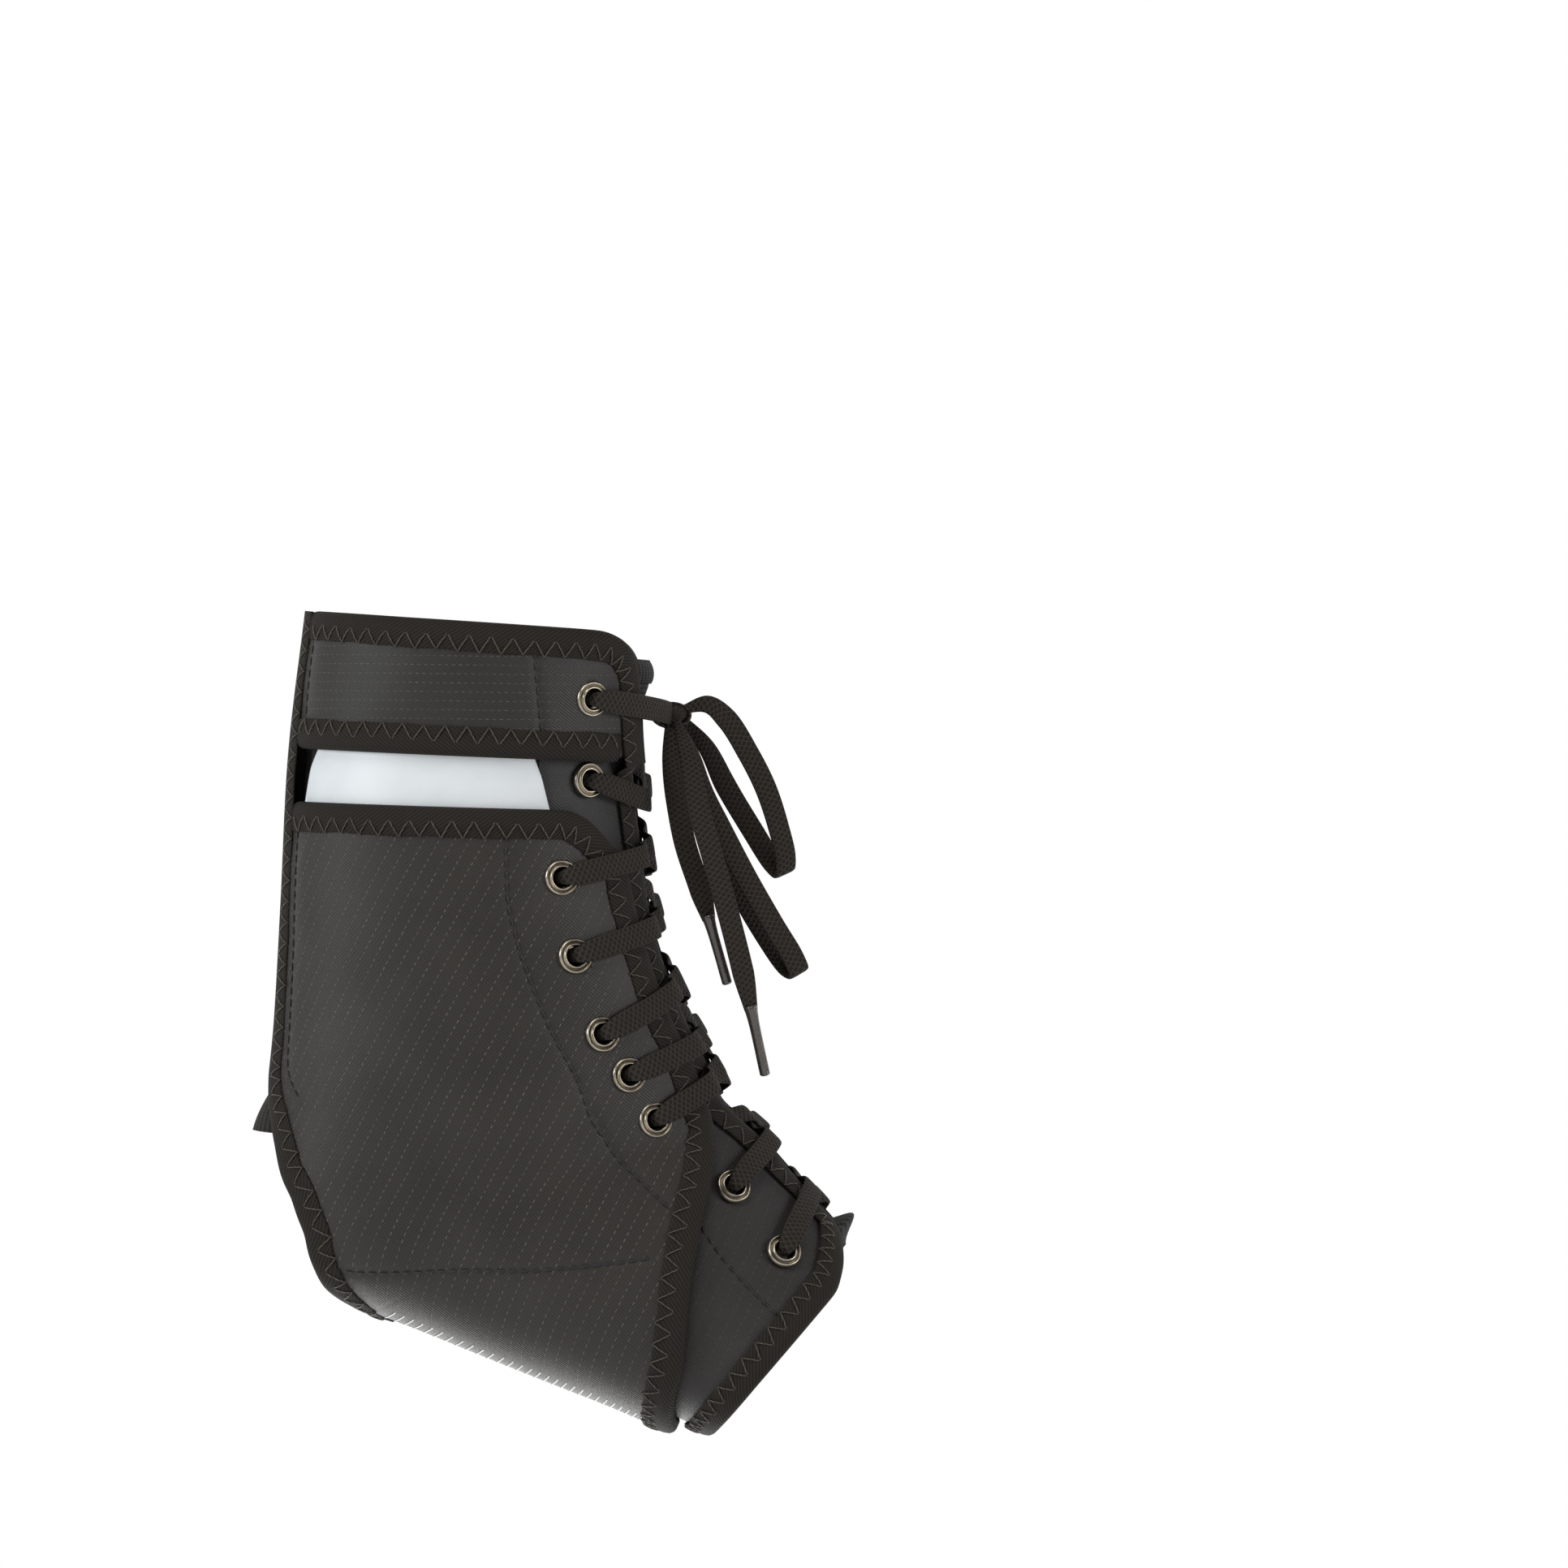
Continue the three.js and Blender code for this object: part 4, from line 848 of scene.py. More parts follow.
band_height = overlay_height([BAND_LINE, BAND_REAR_LINE], 0, BAND_END, base_front)
pocket_height = overlay_height([POCKET_LINE, BOTTOM_LINE, POCKET_REAR_LINE],
                               OVERLAY_START, OVERLAY_END, overlay_front)
BAND_ROWS = spread_rows([0.0, 0.004, 0.015, 0.032, BAND_END], 0.0045)
POCKET_ROWS = spread_rows([OVERLAY_START, 0.141, 0.172, 0.69, 0.92, OVERLAY_END], 0.0045)

for label, side in SIDES:
    band = make_cloth(f"top_band_{label}", BAND_ROWS, 110, (base_front, base_back),
                      (overlay_bottom, band_height), side, BAND_TWILL,
                      EYELETS[:1], [f"top_band_{label}"])
    pocket = make_cloth(f"pocket_panel_{label}", POCKET_ROWS, 120, (overlay_front, base_back),
                        (overlay_bottom, pocket_height), side, TWILL,
                        EYELETS[EYELET_IN_OVERLAY][1:], [f"pocket_panel_{label}"])

# Stays
# A pale strip of semi-rigid plastic in each side pocket, seen through the slot. It is not sewn: it
# slides in from the slot and lies between the shell and the outer cloth.
STAY_LIFT = 2.6
STAY_THICKNESS = 1.2
STAY_START = 0.020
STAY_END = 0.600
STAY_FRONT = np.array([
    (0.020, 0.480), (0.045, 0.410), (0.092, 0.377), (0.108, 0.358), (0.130, 0.341), (0.165, 0.400),
    (0.230, 0.430), (0.450, 0.430), (0.550, 0.450), (0.600, 0.500),
])
STAY_BACK = np.array([
    (0.020, 0.720), (0.045, 0.800), (0.092, 0.850), (0.108, 0.880), (0.130, 0.897), (0.165, 0.800),
    (0.220, 0.740), (0.450, 0.718), (0.550, 0.715), (0.600, 0.680),
])


def stay_material():
    """Cool white polypropylene with a very fine grain."""
    material, tree, shader = new_material("stay_plastic", (0.74, 0.77, 0.78), 0.38)
    place = cloth_place(tree)
    paint(tree, shader, noise(tree, place, 0.12, 3.0), (0.62, 0.66, 0.68), (0.72, 0.74, 0.75))
    emboss(tree, shader, noise(tree, place, 3.0, 4.0), 0.00003)
    return material


def stay_edge(line):
    return lambda along: np.interp(along, *line.T)


STAY_PLASTIC = stay_material()
STAY_ROWS = spread_rows([STAY_START, 0.092, 0.130, STAY_END], 0.005)
for label, side in SIDES:
    make_cloth(f"stay_{label}", STAY_ROWS, 40, (stay_edge(STAY_FRONT), stay_edge(STAY_BACK)),
               (flat_height(STAY_LIFT), flat_height(STAY_LIFT + STAY_THICKNESS)), side, STAY_PLASTIC,
               (), [f"stay_{label}"])

# Edge tapes
# Soft twill tape folded over every edge and sewn down with a zigzag. Each tape is one section swept
# along its edge: rounded over the fold, flat where it lies on the cloth.
TAPE_WIDTH = 6.2
TAPE_FOLD = 1.3
FINE_SPACING = 0.5
EDGE_LIFT = 5.0
ZIGZAG_STEP = 2.7
ZIGZAG_INNER = 2.1
THREAD_RADIUS = 0.19
THREAD_REST = 0.12
LEG_SIDES = 6


def tape_material():
    """Matt brown-black twill tape with fine slanting ribs."""
    material, tree, shader = new_material("edge_tape", (0.013, 0.0105, 0.0080), 0.8,
                                          sheen=0.01, specular=0.2)
    place = cloth_place(tree)
    ribs = threads(tree, place, 52, 0.85)
    fine = noise(tree, place, 1.5)
    height = calc(tree, "MULTIPLY_ADD", fine, 0.4, ribs)
    paint(tree, shader, calc(tree, "MULTIPLY", height, 0.7),
          (0.0065, 0.0053, 0.0040), (0.025, 0.0205, 0.0155))
    emboss(tree, shader, height, 0.00010)
    return material


def thread_material(name, dark, light, roughness, sheen, specular):
    """Twisted sewing thread, darker between its strands."""
    material, tree, shader = new_material(name, light, roughness, sheen=sheen, specular=specular)
    twist = threads(tree, cloth_place(tree), 35, 0.5)
    paint(tree, shader, twist, dark, light)
    emboss(tree, shader, twist, 0.00006)
    return material


TAPE = tape_material()
THREAD = thread_material("thread", (0.018, 0.015, 0.011), (0.105, 0.088, 0.066), 0.5, 0.03, 0.3)


def columns_at(wanted, length, columns):
    """Each column of numbers read at some distances along a path, whose points lie at length."""
    return np.stack([np.interp(wanted, length, column) for column in columns.T], axis=-1)


def blurred(rows, ahead, behind, weights):
    """Columns of rows, with some rows put before and after them, averaged by a row of weights."""
    padded = np.vstack([ahead, rows, behind])
    return np.stack([np.convolve(column, weights, "valid") for column in padded.T], axis=1)


def even_path(path, spacing, blur):
    """A path of (along, around) rows resampled to an even spacing in millimetres on the form, its
    corners rounded over a length of blur."""
    for fineness in (FINE_SPACING, spacing):
        length = arc_lengths(FORM.on(path[:, 0], path[:, 1], EDGE_LIFT))
        count = max(8, int(round(length[-1] / fineness)) + 1)
        path = columns_at(np.linspace(0, length[-1], count), length, path)
        if fineness == FINE_SPACING:
            reach = int(3 * blur / FINE_SPACING)
            weights = np.exp(-0.5 * (np.arange(-reach, reach + 1) * FINE_SPACING / blur) ** 2)
            ahead, behind = 2 * path[0] - path[reach:0:-1], 2 * path[-1] - path[-2:-reach - 2:-1]
            path = blurred(path, ahead, behind, weights / weights.sum())
    return path


class Edge:
    """An even path on the form with, at each station, the step in (along, around) that goes one
    millimetre inwards on the cloth, square to the path."""

    def __init__(self, path, inward, spacing=1.4, blur=1.6):
        self.path = even_path(np.asarray(path, dtype=float), spacing, blur)
        along, around = self.path.T
        points = FORM.on(along, around, EDGE_LIFT)
        self.length = arc_lengths(points)
        tangent = unit(np.gradient(points, axis=0))
        normal = FORM.normal(along, around)
        across = unit(np.cross(tangent, normal)) * inward
        down, about = FORM.read(FORM.down, along, around), FORM.read(FORM.round, along, around)
        down_down, down_about, about_about = (down**2).sum(1), (down * about).sum(1), (about**2).sum(1)
        down_in, about_in = (down * across).sum(1), (about * across).sum(1)
        det = down_down * about_about - down_about**2
        self.step = np.stack([(down_in * about_about - about_in * down_about) / det,
                              (about_in * down_down - down_in * down_about) / det], axis=1)

    def at(self, station, distance, lift, side):
        """Points at arc length station, distance inwards and lift over the form."""
        place = columns_at(station, self.length, self.path)
        step = columns_at(station, self.length, self.step)
        where = place + step * np.asarray(distance, dtype=float)[..., None]
        points = FORM.on(where[..., 0], where[..., 1], lift, side)
        points[..., 1] = side * np.maximum(points[..., 1] * side, 0.12)
        return points


def tape_section(bottom, top):
    """The tape's outline as (distance inwards, height): over the cloth, round the fold, back under."""
    high = top + TAPE_FOLD
    fold = -TAPE_FOLD
    outline = [(TAPE_WIDTH, high - 0.75), (TAPE_WIDTH + 0.1, high - 0.35), (TAPE_WIDTH - 0.35, high - 0.12),
               (4.6, high), (2.6, high + 0.12), (0.9, high - 0.02), (-0.4, high - 0.4), (-1.05, high - 1.05),
               (fold, high - 1.9), (fold, bottom + 0.9), (fold + 0.3, bottom + 0.2), (fold + 0.8, bottom),
               (0.0, bottom + 0.3), (0.0, high - 0.9), (3.0, high - 0.85)]
    return np.array(outline)


def make_tape(name, edge, sections, side):
    """The tape's outline carried along its edge. sections gives the outline at an arc length, as rows
    of distance and height."""
    stations = edge.length
    outlines = np.array([sections(s) for s in stations])
    n, k = outlines.shape[:2]
    wobble = 1 + 0.02 * np.sin(stations / 4.1) + 0.015 * np.sin(stations / 1.9 + 1.0)
    distance = outlines[..., 0] * np.where(outlines[..., 0] > 0, wobble[:, None], 1.0)
    rings = edge.at(np.repeat(stations[:, None], k, axis=1), distance, outlines[..., 1], side)
    faces, corners = grid_faces(n, k, True)
    turn = arc_lengths(outlines[0])
    turn = np.append(turn, turn[-1] + 3.0)
    uv = np.stack([stations[corners[..., 0]], turn[corners[..., 1]]], axis=-1)
    return make_piece(name, rings.reshape(-1, 3), faces, TAPE, uv, end_caps(n, k), [name])


def thread_legs(starts, ends, normals, radius, arch):
    """Points, faces and flat places of short stitches: each a bent rod of five rings that rises by
    arch in the middle and dips into the cloth at both ends."""
    share = np.array([0.0, 0.14, 0.5, 0.86, 1.0])
    size = np.array([0.55, 1.0, 1.0, 1.0, 0.55])
    per_leg = len(share) * LEG_SIDES
    rise = arch * 4 * share * (1 - share) - 0.32 * np.abs(2 * share - 1) ** 6
    ahead = unit(ends - starts)
    side = unit(np.cross(normals, ahead))
    up = np.cross(ahead, side)
    centres = starts[:, None] + (ends - starts)[:, None] * share[None, :, None]
    centres = centres + up[:, None] * rise[None, :, None]
    angle = 2 * np.pi * np.arange(LEG_SIDES) / LEG_SIDES
    ring = side[:, None, :] * np.cos(angle)[None, :, None] + up[:, None, :] * np.sin(angle)[None, :, None]
    points = centres[:, :, None, :] + radius * size[None, :, None, None] * ring[:, None, :, :]
    faces, corners = grid_faces(len(share), LEG_SIDES, True)
    shift = per_leg * np.arange(len(starts))[:, None, None]
    all_faces = (faces[None] + shift).reshape(-1, 4)
    uv = np.stack([corners[..., 0] * 0.7, corners[..., 1] * 0.3], axis=-1)
    caps = (np.array(end_caps(len(share), LEG_SIDES))[None] + shift).reshape(-1, LEG_SIDES)
    return points.reshape(-1, 3), all_faces, np.tile(uv, (len(starts), 1, 1)), caps.tolist()


def make_thread(name, parts, material):
    """One piece of thread from the points, faces, flat places and end caps of several parts."""
    points, faces, uv, caps = join_parts(parts)
    return make_piece(name, points, faces, material, uv, caps)


def zigzag(edge, start, end, height, side):
    """A slightly uneven zigzag over the tape's inner edge, between two arc lengths. height is that
    of the cloth under the tape at an arc length."""
    count = max(3, int((end - start) / ZIGZAG_STEP))
    stations = np.linspace(start, end, count + 1)
    number = np.arange(count + 1)
    distance = np.where(number % 2 == 0, ZIGZAG_INNER, TAPE_WIDTH + 0.2)
    distance = distance + 0.18 * np.sin(7.0 * number**1.3)
    points = edge.at(stations, distance, height(stations) + TAPE_FOLD + THREAD_REST, side)
    place = columns_at(stations[:-1], edge.length, edge.path)
    normals = FORM.normal(place[:, 0], place[:, 1], side)
    return thread_legs(points[:-1], points[1:], normals, THREAD_RADIUS, 0.22)


def rear_path():
    """Down the back edge and round the heel opening to the seam of the sole."""
    along = np.concatenate([[-0.003], np.linspace(0.004, 0.668, 150)])
    rows = np.stack([along, base_back(along)], axis=1)
    return np.vstack([rows, [(0.680, 0.965), (0.687, 0.995), (0.690, 1.03)]])


def behind_rear_tape(along):
    """The share around at which a tape that starts under the rear tape's edge begins."""
    return 1 - (BACK_HALF_GAP + TAPE_WIDTH + 0.8) / FORM.girth(along)


def base_path():
    """Along the top edge, down the front and round the forefoot edge."""
    top = behind_rear_tape(0.0)
    start = np.stack([np.zeros(30), np.linspace(top, 0.262, 30)], axis=1)
    along = np.linspace(0.002, 0.988, 260)
    front = np.stack([along, base_front(along)], axis=1)
    end = np.stack([np.full(40, FOREFOOT_END), np.linspace(0.295, 1.03, 40)], axis=1)
    return np.vstack([start, front, end])


def band_path():
    """Along the band's lower edge."""
    front = base_front(BAND_END) + (TAPE_WIDTH + 2) / FORM.girth(BAND_END)
    ends = (behind_rear_tape(BAND_END), front)
    return np.stack([np.full(30, BAND_END), np.linspace(*ends, 30)], axis=1)


def pocket_path():
    """Along the slot's lower edge, down the panel's front edge and under the sole."""
    top = behind_rear_tape(OVERLAY_START)
    start = np.stack([np.full(30, OVERLAY_START), np.linspace(top, 0.31, 30)], axis=1)
    along = np.linspace(0.135, 0.943, 220)
    front = np.stack([along, overlay_front(along)], axis=1)
    return np.vstack([start, front, [(0.9455, 0.98), (0.946, 1.03)]])


def make_tapes(label, side):
    """The four tapes of one side and the zigzags on them."""
    rear = Edge(rear_path(), 1)
    base = Edge(base_path(), -1)
    band = Edge(band_path(), 1)
    pocket = Edge(pocket_path(), -1)
    band_stop = base.length[np.argmax((base.path[:, 0] > BAND_END + 0.003) & (base.path[:, 1] < 0.3))]

    def base_lift(station):
        """The base tape lies over the top band first, and then comes down onto the shell."""
        share = np.clip((np.asarray(station) - band_stop) / 1.6, 0, 1)
        return OVERLAY_TOP + (SHELL - OVERLAY_TOP) * share * share * (3 - 2 * share)

    def overlay_lift(station):
        return np.full(np.shape(station), OVERLAY_TOP)

    high = tape_section(OVERLAY_LIFT - 2.2, OVERLAY_TOP)
    tall = tape_section(0.0, OVERLAY_TOP)
    make_tape("rear_tape_" + label, rear, lambda station: tall, side)
    make_tape("base_tape_" + label, base, lambda station: tape_section(0.0, float(base_lift(station))), side)
    make_tape("band_tape_" + label, band, lambda station: high, side)
    make_tape("pocket_tape_" + label, pocket, lambda station: high, side)
    make_thread(f"zigzag_{label}", [
        zigzag(rear, 2.0, rear.length[-1] - 5, overlay_lift, side),
        zigzag(base, 2.0, base.length[-1] - 5, base_lift, side),
        zigzag(band, 1.0, band.length[-1] - 1, overlay_lift, side),
        zigzag(pocket, 1.0, pocket.length[-1] - 5, overlay_lift, side),
    ], THREAD)


for label, side in SIDES:
    make_tapes(label, side)

# Rows of straight stitches
# Dark lock stitches that close the stay's pocket and hold the layers together, each row sunk in
# its furrow.
STITCH_LENGTH = 2.5
STITCH_PITCH = 3.1
STITCH_LIFT = 0.15
STITCH_RADIUS = 0.28


def stitch_row(line, height, side):
    """Stitches of one length and pitch along a line on the cloth, each just over its outer face."""
    path = even_path(line, 0.6, 2.0)
    along, around = path.T
    points = FORM.on(along, around, height(along, around) + STITCH_LIFT, side)
    total = arc_lengths(points)
    starts = np.arange(0.3, total[-1] - STITCH_LENGTH, STITCH_PITCH)
    first = columns_at(starts, total, points)
    last = columns_at(starts + STITCH_LENGTH, total, points)
    place = columns_at(starts, total, path)
    normals = FORM.normal(place[:, 0], place[:, 1], side)
    return thread_legs(first, last, normals, STITCH_RADIUS, 0.12)


DARK_THREAD = thread_material("dark_thread", (0.0025, 0.0022, 0.002), (0.013, 0.011, 0.010), 0.55, 0.02, 0.5)
STITCH_ROWS = (
    (BAND_LINE, band_height), (BAND_REAR_LINE, band_height),
    (POCKET_LINE, pocket_height), (BOTTOM_LINE, pocket_height), (POCKET_REAR_LINE, pocket_height),
    (WING_LINE, base_top), (SLOT_LINE, base_top),
)
for label, side in SIDES:
    rows = [stitch_row(line, height, side) for line, height in STITCH_ROWS]
    make_thread(f"stitches_{label}", rows, DARK_THREAD)

# Eyelets
# Turned metal eyelets with a rolled rim, clenched through the cloth; dark polished nickel.
# radius, height over the cloth's top: barrel, inner bead, groove, outer bead, underside
EYELET_PROFILE = [
    (2.60, -1.8), (2.60, 0.55), (2.68, 1.12), (2.90, 1.42), (3.16, 1.38), (3.34, 1.08), (3.52, 0.72),
    (3.74, 0.66), (3.92, 0.92), (4.14, 1.10), (4.40, 0.94), (4.58, 0.55), (4.65, 0.12), (4.58, -0.15),
    (3.60, -0.10), (3.05, -0.30), (3.0, -1.8),
]
EYELET_SIDES = 48
EYELET_SEAT = 0.5
SHADED_GROOVE_START = 5.9
SHADED_GROOVE_END = 7.4


def eyelet_material():
    """Polished bronze-dark nickel, with painted shade darkening the groove between its two beads."""
    material, tree, shader = new_material("eyelet_metal", (0.2, 0.17, 0.13), 0.2, metallic=1.0)
    place = tree.nodes.new("ShaderNodeTexCoord").outputs["Object"]
    wear = noise(tree, place, 260.0, 2.0)
    # Painted shade: a mask over the groove between the two beads, where the metal is painted nearly black.
    split = tree.nodes.new("ShaderNodeSeparateXYZ")
    tree.links.new(cloth_place(tree), split.inputs[0])
    step = calc(tree, "ABSOLUTE", calc(tree, "SUBTRACT", split.outputs["Y"], (SHADED_GROOVE_START + SHADED_GROOVE_END) / 2))
    groove = tree.nodes.new("ShaderNodeMapRange")
    groove.interpolation_type = "SMOOTHSTEP"
    tree.links.new(step, groove.inputs["Value"])
    groove.inputs["From Min"].default_value = (SHADED_GROOVE_END - SHADED_GROOVE_START) / 2 + 0.4
    groove.inputs["From Max"].default_value = 0.0
    metal = shade(tree, wear, (0.22, 0.19, 0.145), (0.50, 0.45, 0.365))
    paint(tree, shader, groove.outputs["Result"], metal, (0.07, 0.059, 0.045))
    tree.links.new(calc(tree, "MULTIPLY_ADD", wear, 0.15, 0.22), shader.inputs["Roughness"])
    return material


EYELET_METAL = eyelet_material()


def layer_top(index):
    return OVERLAY_TOP if EYELET_IN_OVERLAY[index] else SHELL


def make_eyelet(label, side, index):
    """The profile spun round the eyelet's own axis, which stands square on the form."""
    along, around = EYELETS[index]
    centre = FORM.on(along, around, 0.0, side)
    axis = FORM.normal(along, around, side)
    u = unit(np.cross([0.0, 0.0, 1.0], axis))
    v = np.cross(axis, u)
    top = layer_top(index) + EYELET_SEAT
    profile = np.array([(r, h + top) for r, h in EYELET_PROFILE])
    closed = np.vstack([profile, profile[:1]])
    fine = smooth_path(np.column_stack([closed[:, 0], closed[:, 1], np.zeros(len(closed))]), 3)[:-1]
    angle = 2 * np.pi * np.arange(EYELET_SIDES) / EYELET_SIDES
    ring = np.cos(angle)[:, None] * u + np.sin(angle)[:, None] * v
    points = centre + fine[None, :, :1] * ring[:, None, :] + fine[None, :, 1:2] * axis
    k = len(fine)
    i, j = np.meshgrid(np.arange(EYELET_SIDES), np.arange(k), indexing="ij")
    i, j = i.ravel(), j.ravel()
    i_next, j_next = (i + 1) % EYELET_SIDES, (j + 1) % k
    faces = np.stack([i * k + j, i_next * k + j, i_next * k + j_next, i * k + j_next], axis=1)
    uv = np.stack([np.stack([i, i + 1, i + 1, i], 1), np.stack([j, j, j + 1, j + 1], 1) / 3], axis=-1)
    name = f"eyelet_{label}_{index + 1}"
    make_piece(name, points.reshape(-1, 3), faces, EYELET_METAL, uv, (), [name])


for label, side in SIDES:
    for index in range(len(EYELETS)):
        make_eyelet(label, side, index)

# Tongue and rear panel
# A thin padded tongue under the lacing with a knit binding on its top edge, and the ribbed elastic
# panel that joins the two halves along their back edges.
TONGUE_HALF_WIDTH = 27.0
TONGUE_LIFT = -3.8
TONGUE_THICKNESS = 2.4
BINDING_MIDDLE = 0.025
BINDING_HALF = 0.0095
WEB_HALF_WIDTH = 15
CROSSINGS = np.array([0.057, 0.107, 0.150, 0.195, 0.263, 0.327, 0.400, 0.636, 0.830])


def knit_material(name, dark, light, ribs_angle, spacing):
    """Ribbed knit: rounded ribs with small stitches across them."""
    material, tree, shader = new_material(name, dark, 0.85, sheen=0.03, specular=0.2)
    place = cloth_place(tree)
    ribs = threads(tree, place, ribs_angle, spacing)
    loops = threads(tree, place, ribs_angle + 90, spacing * 0.6)
    height = calc(tree, "MULTIPLY_ADD", loops, 0.4, ribs)
    paint(tree, shader, calc(tree, "MULTIPLY", height, 0.7), dark, light)
    emboss(tree, shader, height, 0.0002)
    return material


TONGUE_CLOTH = knit_material("tongue_pad", (0.009, 0.0088, 0.0084), (0.044, 0.043, 0.042), 90, 1.3)
KNIT = knit_material("tongue_knit", (0.008, 0.0078, 0.0075), (0.050, 0.050, 0.049), 0, 1.1)
ELASTIC = knit_material("elastic_web", (0.009, 0.008, 0.007), (0.034, 0.030, 0.025), 0, 1.4)


def tongue_lift(along, around):
    """Flat under the edges, bulging into the gap, more so at the top and in a soft roll at the toe
    end, and pressed in where the laces cross."""
    top = np.maximum(0, 1 - along / 0.085)
    d = around * FORM.girth(along) / (FRONT_HALF_GAP * (1 + 0.5 * top))
    pillow = np.min(np.abs(along[..., None] - CROSSINGS) * PANEL_LENGTH, axis=-1)
    soft = 0.7 * np.clip(pillow / 7, 0, 1) * np.maximum(0, 1 - (d / 1.1) ** 2)
    end = 7.5 * np.exp(-((along - 0.932) / 0.019) ** 2) * np.maximum(0, 1 - (d / 1.9) ** 2)
    rounding = 1 - 0.3 * np.clip((0.034 - along) / 0.017, 0, 1) ** 2
    return TONGUE_LIFT + (2.2 + 4.5 * top) * rounding * np.maximum(0, 1 - d * d) + soft + end


def tongue_side(sign):
    return lambda along: sign * TONGUE_HALF_WIDTH / FORM.girth(along)


def tongue_underside(along, around):
    return tongue_lift(along, around) - TONGUE_THICKNESS


def binding_underside(along, around):
    return tongue_lift(along, around) + 0.1


def binding_top(along, around):
    """Half round across the binding's width."""
    crown = np.sqrt(np.clip(1 - ((along - BINDING_MIDDLE) / BINDING_HALF) ** 2, 0, 1))
    return tongue_lift(along, around) + 0.3 + 0.7 * crown


TONGUE_SIDES = (tongue_side(-1), tongue_side(1))
tongue = make_cloth("tongue", spread_rows([0.017, 0.962], 0.004), 60, TONGUE_SIDES,
                    (tongue_underside, tongue_lift), -1, TONGUE_CLOTH, (), ["tongue"])
make_cloth("tongue_binding", spread_rows([0.016, 0.034], 0.001), 60, TONGUE_SIDES,
           (binding_underside, binding_top), -1, KNIT, (), ["tongue_binding"])


def web_height(lift):
    """The panel lies flat under the rear tapes and flares out over the heel at its lower end."""
    def height(along, around):
        flare = np.clip((along - 0.31) / 0.12, 0, 1)
        d = (around - 1) * FORM.girth(along) / WEB_HALF_WIDTH
        return lift + 9.0 * flare * flare * (3 - 2 * flare) * (1 - 0.8 * d * d)
    return height


def web_side(sign):
    return lambda along: 1 + sign * WEB_HALF_WIDTH / FORM.girth(along)


web = make_cloth("rear_web", spread_rows([0.008, 0.43], 0.005), 40, (web_side(-1), web_side(1)),
                 (web_height(-2.6), web_height(-1.4)), -1, ELASTIC, (), ["rear_web"])

# The lacing
# Two half laces from a bar under the lowest eyelets, up through every pair to the knot: each goes
# out of an eyelet, over its own edge, across the tongue, under the other edge and into the next.
EYELET_RISE = 1.2
LACE_CLEARANCE = 0.9
OVER_BASE = SHELL + EYELET_SEAT + EYELET_RISE + LACE_CLEARANCE
OVER_OVERLAY = OVERLAY_TOP + EYELET_SEAT + EYELET_RISE + LACE_CLEARANCE
UNDER = -1.7
CROSSING_OFFSET = 4.0
CROSSING_SLOPE = 0.45


